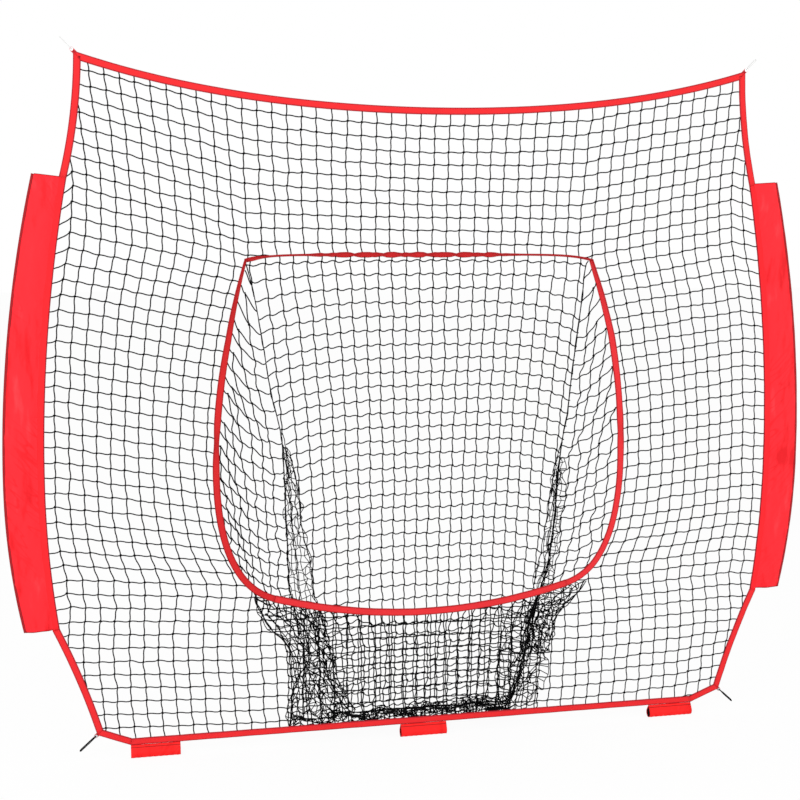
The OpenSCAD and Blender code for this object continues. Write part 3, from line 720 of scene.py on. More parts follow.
def cloth(grid, uv):
    """Two copies of a grid of points, half a thickness to either side of it, joined round the edge."""
    down, across = np.gradient(grid, axis=0), np.gradient(grid, axis=1)
    off = unit(np.cross(down, across)) * CLOTH / 2
    n, m = grid.shape[:2]
    points = np.concatenate([(grid + off).reshape(-1, 3), (grid - off).reshape(-1, 3)])
    i, j = pairs(np.arange(n - 1), np.arange(m - 1))
    one = np.stack([i * m + j, i * m + j + 1, (i + 1) * m + j + 1, (i + 1) * m + j], -1)
    edge = np.concatenate([np.arange(m - 1), np.arange(n - 1) * m + m - 1,
                           (n - 1) * m + np.arange(m - 1, 0, -1), np.arange(n - 1, 0, -1) * m])
    after = np.roll(edge, -1)
    side = np.stack([after, edge, edge + n * m, after + n * m], -1)
    flat_uv = uv.reshape(-1, 2)
    faces = [one, one[:, ::-1] + n * m, side]
    return outward(points, faces, [flat_uv[one], flat_uv[one[:, ::-1]], flat_uv[side % (n * m)]])


def wrinkles(side, face, s, h):
    """Slanting wrinkles: waves along s + slope h, strongest near the foot and at mid height."""
    seed = 1.7 * side + 0.9 * face
    foot = np.exp(-((h / 0.16) ** 2))
    middle = np.exp(-(((h - 0.46) / 0.20) ** 2))
    top = np.exp(-(((1 - h) / 0.10) ** 2))
    slant = np.sin(2 * np.pi * (2.1 * s + 13 * h) + seed) * (0.0016 * foot + 0.0006 * top)
    fine = np.sin(2 * np.pi * (1.3 * s - 21 * h) + 2 * seed + 2.2 * np.sin(9 * h))
    fine = fine * (0.0009 * middle + 0.0006 * foot)
    slow = 0.0013 * np.sin(2 * np.pi * (0.6 * s + 3.1 * h) + seed) * np.sin(2 * np.pi * 1.7 * h + seed)
    return (slant + fine + slow) * np.sin(np.pi * np.clip(s, 0, 1)) ** 0.7


# How much higher the foot and the top of each sleeve's cloth lie than the seam's ends: for each of the two,
# first at the seam and then at the hem.
SLANT = {-1: ((0.006, 0.0), (0.0, 0.010)), 1: ((0.009, 0.009), (0.003, 0.009))}
SLEEVE_L = SLEEVE_TOP_Z - SLEEVE_FOOT_Z


def sleeve_grid(side, face):
    """Across, s goes from the seam to the hem; along, h goes from the foot to the top. The cloth lies inside
    the folded tape at the seam, swells to half the pole's room in the middle and comes back to nearly nothing
    at the hem. Its ends are cut a little aslant."""
    h, s = np.linspace(0, 1, 161)[:, None], np.linspace(0, 1, 33)[None]
    foot_z, top_z = SLEEVE_FOOT_Z + mix(*SLANT[side][0], s), SLEEVE_TOP_Z + mix(*SLANT[side][1], s)
    z = mix(foot_z, top_z, h)
    x = mix(inner_x(z) + 0.0012, outer_x(z) - 0.0060, s)
    swell = 0.0078 * np.sin(np.pi * np.clip((s - 0.17) / 0.78, 0, 1)) ** 0.8
    y = face * (0.0012 + swell + wrinkles(side, face, s, h) * np.clip((s - 0.19) / 0.1, 0, 1))
    flat = np.stack([(outer_x(z) - inner_x(z)) * s, SLEEVE_L * h + 0 * s], -1)
    return np.stack([side * x, y, z], -1), flat


def sleeve_area():
    z = np.linspace(SLEEVE_FOOT_Z, SLEEVE_TOP_Z, 400)
    return float(np.mean(outer_x(z) - inner_x(z)) * SLEEVE_L)


def sew_sleeve(name, side, face):
    grid, flat = sleeve_grid(side, face)
    piece = fit(new_piece(name + "_cloth", *cloth(grid, flat)), "net", name)
    return piece


sleeves = [sew_sleeve(f"{name}_sleeve_{layer}", side, face)
           for name, side in (("left", -1), ("right", 1)) for layer, face in (("front", -1), ("back", 1))]
print("sleeve cloth of", round(sleeve_area(), 4), "square metres each")


# %% The sleeves' hems
def sleeve_hem(name, side):
    z = np.linspace(SLEEVE_FOOT_Z, SLEEVE_TOP_Z, 121)
    line = np.stack([side * outer_x(z), z], -1)
    if side < 0:
        line = line[::-1]
    line[:, 1] += np.interp(line[:, 1], (SLEEVE_FOOT_Z, SLEEVE_TOP_Z), (SLANT[side][0][1], SLANT[side][1][1]))
    tangent = unit(np.gradient(line, axis=0))
    inward = np.stack([-tangent[:, 1], tangent[:, 0]], -1)
    return tape(name, line, inward, 0, len(line) - 1, slot="trim", width=0.0090, depth=0.0040, ripple=0.0003)


hems = [sleeve_hem("left_sleeve_hem", -1), sleeve_hem("right_sleeve_hem", 1)]
print("sleeve hems", len(hems))

# %% [markdown]
# ## The base sleeves
# Under the hem hang three short sleeves for the base pole. Each is one cloth that comes
# down from the tape, goes round the pole and back up, so its section is a drop: a circle
# with two straight flanks that touch it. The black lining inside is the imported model's
# own tube. The outer two sleeves swing with their own bodies.

# %% Base sleeves
# %% Base sleeves
BASE_R, BASE_L, FLANGE_Z = 0.0149, 0.155, HEM - 0.0005
FLANGE_Y = 0.0001  # the cloth's ends lie close to the line they fold on, and so turn clear of the tape
BASE_OUT = 0.8725  # the middles of the outer two sleeves from the middle of the net


def drop():
    """A circle of the sleeve's radius and its two tangents up to the flange, as evenly spaced (y, z)."""
    touch = math.acos(BASE_R / FLANGE_Z)
    a = np.linspace(touch, 2 * np.pi - touch, 61)
    circle = np.stack([BASE_R * np.sin(a), BASE_R * np.cos(a)], -1)
    line = np.concatenate([[[FLANGE_Y, FLANGE_Z]], circle, [[-FLANGE_Y, FLANGE_Z]]])
    run = distance_along(line)
    at = np.linspace(0, run[-1], 49)
    return np.stack([np.interp(at, run, line[:, k]) for k in (0, 1)], -1), run[-1]


def base_sleeve(name, middle, body):
    """The drop carried along X, puckered a little round its lower side."""
    line, round_length = drop()
    y, z = line.T[:, None]
    s = np.linspace(-0.5, 0.5, 65)[:, None]
    share = np.linspace(0, 1, len(line))[None]
    pucker = 1 + 0.022 * np.sin(2 * np.pi * (9 * s + 1.3 * share) + 3 * middle) * np.sin(np.pi * share) ** 2
    grid = np.stack([middle + BASE_L * s + 0 * y, y * pucker, z * np.where(z < 0, pucker, 1)], -1)
    flat = np.stack([BASE_L * (s + 0.5) + 0 * share, round_length * share + 0 * s], -1)
    piece = fit(new_piece(name + "_cloth", *cloth(grid, flat)), body, name)
    return piece


base_sleeves = [base_sleeve("base_sleeve_left", -BASE_OUT, "base_sleeve_left"),
                base_sleeve("base_sleeve_centre", 0.0, "net"),
                base_sleeve("base_sleeve_right", BASE_OUT, "base_sleeve_right")]
print("base sleeve cloth", round(drop()[1] * 1000), "mm round,", round(BASE_L * 1000), "mm long")

# %% [markdown]
# ## The ball pocket
# Behind the opening hangs a slack bag of the same netting: a back panel between two
# gathered seams, a side net from each seam to the tape of the opening, a front net below
# the opening, and a floor. Slack twine doesn't lie straight: each strand of the back
# panel hangs in a scallop between two knots, and along the seams and the floor the net is
# gathered so tightly that it looks like a tangle. The nets are functions of column and
# row again, with more sway. The gathers are crumpled patches of net between two lines,
# with bundles of strands that wander along the lines themselves.

# %% Lines of the pocket
POCKET_Y, POCKET_DEPTH, POCKET_TOP, POCKET_FOOT = 0.004, 0.110, HEM + 1.530, HEM + 0.020
# Each line is drawn through a few places, as x and height above the hem, from the top down.
LEFT_SEAM = [(-0.571, 1.524), (-0.549, 1.438), (-0.525, 1.313), (-0.494, 1.117), (-0.462, 0.980),
             (-0.449, 0.823), (-0.444, 0.700), (-0.436, 0.521), (-0.429, 0.445), (-0.405, 0.338),
             (-0.401, 0.294), (-0.386, 0.240), (-0.386, 0.120), (-0.386, 0.008)]
LEFT_EDGE = [(-0.462, 0.990), (-0.427, 0.888), (-0.408, 0.800), (-0.397, 0.704), (-0.384, 0.620),
             (-0.366, 0.550), (-0.354, 0.440), (-0.336, 0.390), (-0.314, 0.330), (-0.310, 0.272),
             (-0.286, 0.202), (-0.268, 0.132), (-0.236, 0.060), (-0.200, 0.010)]
RIGHT_SEAM = [(0.549, 1.524), (0.533, 1.500), (0.522, 1.353), (0.508, 1.211), (0.493, 1.020), (0.476, 0.895),
              (0.469, 0.788), (0.464, 0.674), (0.457, 0.579), (0.444, 0.481), (0.426, 0.415), (0.400, 0.340),
              (0.386, 0.290), (0.386, 0.231), (0.372, 0.168), (0.362, 0.115), (0.346, 0.056), (0.330, 0.010)]
RIGHT_EDGE = [(0.480, 0.930), (0.457, 0.823), (0.443, 0.720), (0.436, 0.650), (0.429, 0.581), (0.418, 0.520),
              (0.406, 0.458), (0.392, 0.380), (0.384, 0.329), (0.376, 0.260), (0.366, 0.190), (0.352, 0.120),
              (0.338, 0.056), (0.318, 0.010)]
LEFT_OUTLINE = [(-0.556, 0.462), (-0.526, 0.389), (-0.501, 0.344), (-0.453, 0.291), (-0.431, 0.250),
                (-0.421, 0.200), (-0.421, 0.150), (-0.431, 0.100), (-0.437, 0.006)]
RIGHT_OUTLINE = [(0.562, 0.450), (0.543, 0.418), (0.498, 0.365), (0.466, 0.335), (0.456, 0.290),
                 (0.444, 0.225), (0.452, 0.180), (0.444, 0.130), (0.424, 0.090), (0.408, 0.055),
                 (0.380, 0.010)]


def back_y(z):
    """The back panel leans: its depth grows evenly from the opening's top to the pocket's foot."""
    return mix(POCKET_Y, POCKET_DEPTH, np.clip((POCKET_TOP - z) / (POCKET_TOP - POCKET_FOOT), 0, 1.02))


def smooth_through(places, samples):
    """A Catmull-Rom curve along the second last axis, with `samples` steps between two places.
    At each place it runs in the direction of the line between the two places beside it."""
    p = np.asarray(places, float)
    n = p.shape[-2]
    p = np.concatenate([2 * p[..., :1, :] - p[..., 1:2, :], p, 2 * p[..., -1:, :] - p[..., -2:-1, :]], -2)
    t = np.arange((n - 1) * samples + 1) / samples
    i = np.minimum(t.astype(int), n - 2)
    f = (t - i)[:, None]
    a, b, c, d = [p[..., i + k, :] for k in range(4)]
    return b + 0.5 * f * (c - a + f * (2 * a - 5 * b + 4 * c - d + f * (3 * b - a - 3 * c + d)))


def x_on(line, z):
    """x of a line at height z."""
    curve = smooth_through(line, 12)[::-1]
    return np.interp(z - HEM, curve[:, 1], curve[:, 0])


def noise_line(n, pitch, count):
    """Smooth wander in count lines of n points: random values every pitch points, joined by a cubic ease."""
    values = random.normal(0, 1, (count, n // pitch + 3))
    at = np.arange(n) / pitch
    i = at.astype(int)
    f = at - i
    f = f * f * (3 - 2 * f)
    return mix(values[:, i], values[:, i + 1], f[None])


def bundle(line, count, spread, pitch):
    """Count strands that wander about a line, with a spread that may change along it."""
    n = len(line)
    spread = np.broadcast_to(spread, n)
    off = [noise_line(n, pitch + more, count) * spread * share
           for more, share in ((0, 1), (2, 0.7), (0, 0.5))]
    return list(line[None] + np.stack(off, -1))


def down_line(line, top, foot, lift=0.0):
    """Points every 7 mm down a line between two heights above the hem, in front of the back panel by lift."""
    z = HEM + np.arange(top, foot, -0.007)
    return np.stack([x_on(line, z), np.maximum(back_y(z) - lift, 0.0066), z], -1)


def strung(places):
    """Smooth strands through the rows and through the columns of a grid of places."""
    return list(smooth_through(places, 3)) + list(smooth_through(places.transpose(1, 0, 2), 3))


def crumple(left, right, top, foot, cell, jitter, near, far):
    """A crumpled patch of net between two lines. Its knots lie on a grid, thrown about by jitter, and its
    depth goes back and forth in folds, between `near` and `far` in front of the back panel."""
    z = HEM + np.arange(top, foot, -cell[1])
    ends = x_on(left, z), x_on(right, z)
    count = max(int(np.abs(ends[1] - ends[0]).max() / cell[0]) + 1, 3)
    f = np.linspace(0, 1, count)[:, None]
    x = mix(ends[0][None], ends[1][None], f)
    row = np.arange(len(z))[None]
    share = 0.5 + 0.5 * np.sin(np.arange(count)[:, None] * 1.9 + row * 0.7 + 3 * top)
    y = np.maximum(back_y(z)[None] - mix(far, near, share), 0.010)
    thrown = random.normal(0, 1, x.shape + (3,)) * [jitter, jitter * 0.6, jitter]
    places = np.stack([x, y, z[None] + 0 * x], -1) + thrown
    places[..., 1] = np.clip(places[..., 1], 0.009, 0.114)
    places[..., 2] = np.maximum(places[..., 2], HEM + 0.001)
    return strung(places)


def pocket_piece(name, parts):
    piece = new_piece(name + "_twine", *joined(parts))
    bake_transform(piece)
    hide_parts(name)
    print(name, triangles(piece), "triangles")
    return piece


# %% [markdown]
# ## The seams
# From the opening's corners each seam comes down as one thick line. Below the middle it
# opens into a band: a firm line on each side, and the gathered net between them.

# %% The gathered seams
GATHERED = 0.0030  # twine that is pulled tight in the gathers
RIGHT_OUTER = [(0.482, 0.930), (0.488, 0.840), (0.494, 0.780), (0.490, 0.718), (0.484, 0.613),
               (0.474, 0.540), (0.464, 0.437), (0.450, 0.390)]


def pocket_seam(name, seam, edge, outer, opens, heavy):
    """The seam's line from the top to the foot, the firm edge where the back panel's rows end, and the gather
    between them. A heavy seam is drawn together by one strand more."""
    core = down_line(seam, 1.520, 0.012)
    low = down_line(seam, opens, 0.30, 0.004)
    rim_side = down_line(edge, opens - 0.002, 0.012)
    fold = mix(*[down_line(line, opens - 0.10, 0.40, 0.006) for line in (seam, edge)], 0.36)
    parts = [carry(bundle(core, 2, 0.0010, 4), 0.0018 if heavy else 0.0016, 5),
             carry(bundle(low, 2 + heavy, np.linspace(0.0004, 0.0040, len(low)), 3), 0.0014, 5),
             carry(bundle(rim_side, 2, 0.0020, 3), 0.0013, 5), carry(bundle(fold, 2, 0.0026, 3), 0.0013, 5)]
    between = crumple(seam, edge, opens - 0.050, 0.385, (0.0135, 0.0200), 0.0050, 0.0, 0.012)
    if outer is not None:
        between += crumple(seam, outer, opens - 0.05, 0.40, (0.0125, 0.0190), 0.0042, 0.0, 0.012)
    return pocket_piece(name, [*parts, carry(between, 0.0013, 4)])


pocket_seams = [pocket_seam("pocket_left_seam", LEFT_SEAM, LEFT_EDGE, None, 0.98, 0),
                pocket_seam("pocket_right_seam", RIGHT_SEAM, RIGHT_EDGE, RIGHT_OUTER, 0.92, 1)]

# %% [markdown]
# ## The back panel
# The panel was cut as wide as the opening. Its columns come a little closer downwards and
# run into the slanting seams one after another, and each row dips where the seam pulls it
# down.

# %% The back panel
BACK_PITCH, BACK_MIDDLE = 0.0448, 0.024


def back_place(column, row):
    """Rows are a mesh apart. Columns come together from 44.5 mm at the top to 38 mm. A row dips towards the
    seam by the fourth power of how far out it is."""
    z = 1.034 + BACK_PITCH * row - 0.0035 * np.clip(row - 10, 0, 1)
    pitch = 0.0378 + 0.0067 * np.clip((z - 0.43) / 1.07, 0, 1) ** 1.9
    x = BACK_MIDDLE + pitch * (column - 1)
    left, right = [(x - BACK_MIDDLE) / (x_on(seam, z + HEM) - BACK_MIDDLE)
                   for seam in (LEFT_SEAM, RIGHT_SEAM)]
    out = np.where(column > 1, right, left)
    amount = np.interp(z, (1.40, 1.53), (1.0, 0.25)) * np.where(column > 1, 0.062, 0.050)
    slack = 0.006 * (1 + np.sin(column * 0.8) * np.sin(row * 0.5)) * np.clip((1.5 - z) / 0.2, 0, 1)
    return np.stack([x, back_y(z + HEM) - slack, z - amount * np.clip(out, 0, 1.1) ** 4.2 + HEM], -1)


def net_between(place, columns, rows, scallop, sway, jitter):
    """The strands and knots of a slack net whose place is a function of column and row, which are ranges with
    part ends. A row hangs in a scallop between two knots, with a hump behind each knot."""
    n, m = int(columns[1] - columns[0]) + 3, int(rows[1] - rows[0]) + 3
    shift = random.normal(0, jitter, (3, n, m)) * np.array([1, 0.5, 1])[:, None, None]

    def moved(c, r):
        a, b = c - math.floor(columns[0]), r - math.floor(rows[0])
        i, j = np.clip(a.astype(int), 0, n - 2), np.clip(b.astype(int), 0, m - 2)
        low, high = [mix(shift[:, i, row], shift[:, i + 1, row], a - i) for row in (j, j + 1)]
        return place(c, r) + mix(low, high, b - j).T

    def whole(a, b):
        return np.arange(math.ceil(a), math.floor(b) + 1)

    def spaced(a, b):
        inner = np.arange(math.ceil(a * SAMPLES), math.floor(b * SAMPLES) + 1) / SAMPLES
        return np.unique(np.concatenate([[a, b], inner]))

    lines = []
    c = spaced(*columns)
    for r in whole(*rows):
        line = moved(c, 0 * c + r)
        line[:, 2] += wave(c, r, scallop, -sway)
        line[:, 1] += wave(c, r + 50, scallop * 0.5, sway * 0.5)
        lines.append(line)
    r = spaced(*rows)
    for k in whole(*columns):
        line = moved(0 * r + k, r)
        line[:, 0] += wave(r, k + 7, scallop * 0.25, sway * 0.5)
        lines.append(line)
    cc, rr = [v.ravel().astype(float) for v in np.meshgrid(whole(*columns), whole(*rows))]
    return lines, moved(cc, rr)


def in_back(points):
    """Whether places lie between the lines that the back panel ends on."""
    z = points[:, 2]
    left = np.where(z > HEM + 0.985, x_on(LEFT_SEAM, z), x_on(LEFT_EDGE, z))
    right = np.where(z > HEM + 0.925, x_on(RIGHT_SEAM, z), x_on(RIGHT_EDGE, z))
    return (points[:, 0] > left - 0.001) & (points[:, 0] < right + 0.001)


def cut_to(kept, lines, places):
    """The unbroken stretches of the lines, and the knots, for which `kept` says yes."""
    return [piece for line in lines for piece in cut_line(kept, line)], places[kept(places)]


def pocket_net(lines, places):
    return [carry(lines, TWINE / 2), knots(places, 0.0036)]


back_net = cut_to(in_back, *net_between(back_place, (-14, 14), (-22, 11.46), 0.0022, 0.0030, 0.0014))
pocket_back = pocket_piece("pocket_back", pocket_net(*back_net))

# %% [markdown]
# ## The side nets
# A row leaves the opening's tape steeply, hangs below the straight line to the seam and
# comes to it nearly level. So the columns lie close together along the tape and a full
# mesh apart beside the seam.

# %% The side nets
RIM_SIDE = [(0.557, 1.510), (0.584, 1.430), (0.605, 1.376), (0.628, 1.294), (0.645, 1.190), (0.660, 1.060),
            (0.669, 0.900), (0.667, 0.790), (0.660, 0.706), (0.642, 0.622), (0.603, 0.537), (0.560, 0.485),
            (0.520, 0.455)]
AT_TAPE = 0.97  # the share of the way from the seam to the tape at which a row's last knot may lie


def side_net(side, seam, shrink, first, drops, bend):
    """Knots of row k and column j: j counts from the seam outwards in steps of first - shrink j. The first
    step and the drop are given by height, as places on the tape and amounts. A row drops between tape and
    seam, most of it near the tape when bend is large."""
    rim_line = pulled_left(np.array([(side * x, z + HEM) for x, z in RIM_SIDE]))
    tape_z = HEM + np.arange(1.494, 0.470, -0.0445)
    tape_x = np.interp(tape_z, rim_line[::-1, 1], rim_line[::-1, 0])
    fall = np.interp(tape_z - HEM, *zip(*drops))
    seam_z = tape_z - fall
    seam_x, seam_y = x_on(seam, seam_z), back_y(seam_z)
    j = np.arange(14)[None]
    wide = np.interp(tape_z[:, None] - HEM, *zip(*first))
    out = wide * j - shrink * j ** 2
    share = out / np.abs(tape_x - seam_x)[:, None]
    x = mix(seam_x[:, None], tape_x[:, None], share)
    z = tape_z[:, None] - fall[:, None] * (1 - np.clip(share, 0, 1) ** bend)
    y = mix(0.005, seam_y[:, None], 1 - np.clip(share, 0, 1) ** 2.2)
    knot = np.stack([x, y, z], -1)
    free = (share < AT_TAPE)[..., None] & (j > 0)[..., None]
    knot = knot + random.normal(0, 0.0032, knot.shape) * [1, 0.5, 1] * free
    knot[..., 2] -= 0.004 * np.sin(1.7 * np.arange(len(tape_z))[:, None] + 2.1 * j) * free[..., 0]
    lines, places = [], []
    for k in range(len(tape_z)):
        n = int((share[k] < AT_TAPE).sum())
        ends = np.concatenate([knot[k, :n], [[tape_x[k], 0.005, tape_z[k]]]])
        f = np.arange((len(ends) - 1) * SAMPLES + 1) / SAMPLES
        line = np.stack([np.interp(f, np.arange(len(ends)), ends[:, a]) for a in range(3)], -1)
        line[:, 2] += wave(f, k + 31, 0.0030, side * 0.0024)
        lines.append(line)
        places.append(knot[k, 1:n])
    for column in range(1, 13):
        good = np.flatnonzero(share[:, column] < AT_TAPE)
        if len(good) > 1:
            line = smooth_through(knot[good, column], SAMPLES)
            f = np.arange(len(line)) / SAMPLES
            line[:, 0] += wave(f, column + 61, 0.0010, 0.0018)
            lines.append(line)
    return lines, np.concatenate(places)


LEFT_STEPS = [(0.7, 0.0325), (1.1, 0.0370), (1.4, 0.0420)]
LEFT_DROPS = [(0.47, 0.13), (0.80, 0.160), (1.10, 0.150), (1.25, 0.115), (1.41, 0.112), (1.47, 0.070),
              (1.51, 0.030)]
RIGHT_STEPS = [(0.7, 0.033), (1.4, 0.035)]
RIGHT_DROPS = [(0.47, 0.06), (0.80, 0.090), (1.10, 0.100), (1.40, 0.090), (1.47, 0.050), (1.51, 0.020)]
left_net = side_net(-1, LEFT_SEAM, 0.0008, LEFT_STEPS, LEFT_DROPS, 2.2)
right_net = side_net(1, RIGHT_SEAM, 0.0, RIGHT_STEPS, RIGHT_DROPS, 1.9)

# %% [markdown]
# ## The pouch
# Below the opening the side nets fall into deep folds. On the left they fill the space
# between the outer edge and the seam; on the right they hang in loose loops.

# %% Folds of the pouch
MID_LEFT = [(-0.352, 0.400), (-0.351, 0.326), (-0.345, 0.271), (-0.321, 0.217), (-0.304, 0.145),
            (-0.256, 0.055), (-0.220, 0.010)]
MID_RIGHT = [(0.412, 0.400), (0.402, 0.337), (0.396, 0.292), (0.401, 0.239), (0.394, 0.205), (0.381, 0.160)]
INSIDE_RIGHT = [(0.290, 0.360), (0.280, 0.200), (0.260, 0.010)]

left_folds = crumple(LEFT_OUTLINE, LEFT_SEAM, 0.452, 0.005, (0.0280, 0.0260), 0.0070, 0.03, 0.07)
left_folds += crumple(LEFT_SEAM, LEFT_EDGE, 0.395, 0.005, (0.0155, 0.0145), 0.0055, 0.0, 0.06)
left_cords = bundle(down_line(LEFT_OUTLINE, 0.455, 0.004, 0.060), 2, 0.0028, 3)
left_cords += bundle(down_line(MID_LEFT, 0.395, 0.010, 0.02), 2, 0.0030, 3)

right_folds = crumple(RIGHT_EDGE, RIGHT_SEAM, 0.400, 0.060, (0.0110, 0.0120), 0.0040, 0.0, 0.05)
right_folds += crumple(RIGHT_SEAM, RIGHT_OUTLINE, 0.440, 0.200, (0.0130, 0.0130), 0.0045, 0.02, 0.07)
right_folds += crumple(RIGHT_SEAM, RIGHT_OUTLINE, 0.220, 0.005, (0.0240, 0.0200), 0.0075, 0.02, 0.07)
right_cords = bundle(down_line(RIGHT_SEAM, 0.420, 0.010, 0.006), 4, 0.0040, 2)
right_cords += bundle(down_line(RIGHT_OUTLINE, 0.450, 0.240, 0.060), 3, 0.0036, 3)
right_cords += bundle(down_line(MID_RIGHT, 0.395, 0.165, 0.02), 3, 0.0032, 3)
right_folds += crumple(INSIDE_RIGHT, RIGHT_EDGE, 0.345, 0.040, (0.0200, 0.0200), 0.0060, 0.0, 0.06)

side_nets = [pocket_piece(name, pocket_net(*net) + [carry(folds, GATHERED / 2, 4), carry(cords, 0.0018, 4)])
             for name, net, folds, cords in (("pocket_left_side", left_net, left_folds, left_cords),
                                             ("pocket_right_side", right_net, right_folds, right_cords))]


# %% The front net below the opening
def front_place(column, row):
    """The flat netting's own rows and columns, a little behind and below, that narrow into the pouch."""
    x, z = net_place(column, -13.4 - row)
    half = 0.437 + 0.07 * np.clip(1 - row / 3, 0, 1) ** 2
    x = x * half / 0.575 * 1.02
    top = HEM + RIM_FOOT + 0.30 * x ** 2
    z = np.minimum(z - 0.012, top - 0.004 - 0.036 * row)
    y = 0.0115 + 0.0035 * row + 0.004 * np.sin(column * 1.1 + row)
    return np.stack([x, y, np.maximum(z, HEM + 0.004)], -1)


front_net = net_between(front_place, (-12, 12), (0, 10.3), 0.0032, 0.0035, 0.0030)
front = new_piece("pocket_front_twine", *joined(pocket_net(*front_net)))
fit(front, "net", "pocket_front")


# %% The floor and the hem cord
def flat_tangle(x0, x1, low, high, near, far, columns, rows, jitter):
    """A crumpled strip of net along the hem, whose top edge rises from left to right."""
    f, g = np.meshgrid(np.arange(columns) / (columns - 1), np.arange(rows) / (rows - 1), indexing="ij")
    z = mix(low, mix(high[0], high[1], f), g) + HEM
    y = mix(near, far, 0.5 + 0.5 * np.sin(31 * f + 1.9 * g))
    thrown = random.normal(0, 1, f.shape + (3,)) * [jitter, jitter, jitter * 0.7]
    places = np.stack([mix(x0, x1, f), y, z], -1) + thrown
    places[..., 2] = np.maximum(places[..., 2], HEM + 0.0005)
    return strung(places)


floor_lines = flat_tangle(-0.43, 0.33, 0.002, (0.020, 0.040), 0.030, 0.104, 78, 5, 0.0056)
floor_lines += flat_tangle(-0.26, 0.32, 0.006, (0.022, 0.046), 0.040, 0.090, 50, 4, 0.0060)
for height, start in ((0.008, -0.34), (0.020, -0.12), (0.032, 0.06)):
    t = np.linspace(0, 1, int((0.325 - start) / 0.007))
    line_z = HEM + height + 0.004 * t + 0.002 * np.sin(40 * t)
    line_y = 0.075 + 0.012 * np.sin(9 * t)
    floor_lines += bundle(np.stack([mix(start, 0.325, t), line_y, line_z], -1), 1, 0.0044, 2)
blob = np.stack([np.linspace(0.232, 0.286, 16), np.full(16, 0.045), np.full(16, HEM + 0.012)], -1)
floor = pocket_piece("pocket_floor", [carry(floor_lines, GATHERED / 2, 4),
                                      carry(bundle(blob, 16, 0.0080, 3), 0.0022, 5)])

hem_z = HEM + 0.012 + 0.002 * np.sin(np.linspace(0, 25, 90))
hem_line = np.stack([np.linspace(-0.285, 0.33, 90), np.full(90, POCKET_DEPTH - 0.003), hem_z], -1)
hem_cord = pocket_piece("pocket_hem_cord", [carry(bundle(hem_line, 5, 0.0026, 4), 0.0017)])
print("pocket made")

# %% [markdown]
# ## Finishes
# Each finish is a small net of shader nodes. The twine is laid in a twist, the tape is
# ribbed across with dashes of stitching near its edge, the sleeves are a coated plain
# weave and the elastic is braided. Some colours hold painted shade and painted sheen: the
# tapes' darker edges, the sleeves' wrinkles, creases and edges, the base sleeves' ends and
# undersides, the sleeve hems and the darker tape along the opening's top and left. Patterns
# read the pieces' own UV map, in metres, so they have their real size and turn with the
# cloth. The imported model's own pieces have no UV, so their finishes read Object coordinates.

# %% Helpers for shader nodes
def give(tree, socket, value):
    """A socket takes a plain value, or a link from another node's output."""
    if isinstance(value, bpy.types.NodeSocket):
        tree.links.new(value, socket)
    else:
        socket.default_value = value


def add_node(tree, kind, inputs=(), **settings):
    node = tree.nodes.new(kind)
    for key, value in settings.items():
        setattr(node, key, value)
    for socket, value in dict(inputs).items():
        give(tree, node.inputs[socket], value)
    return node


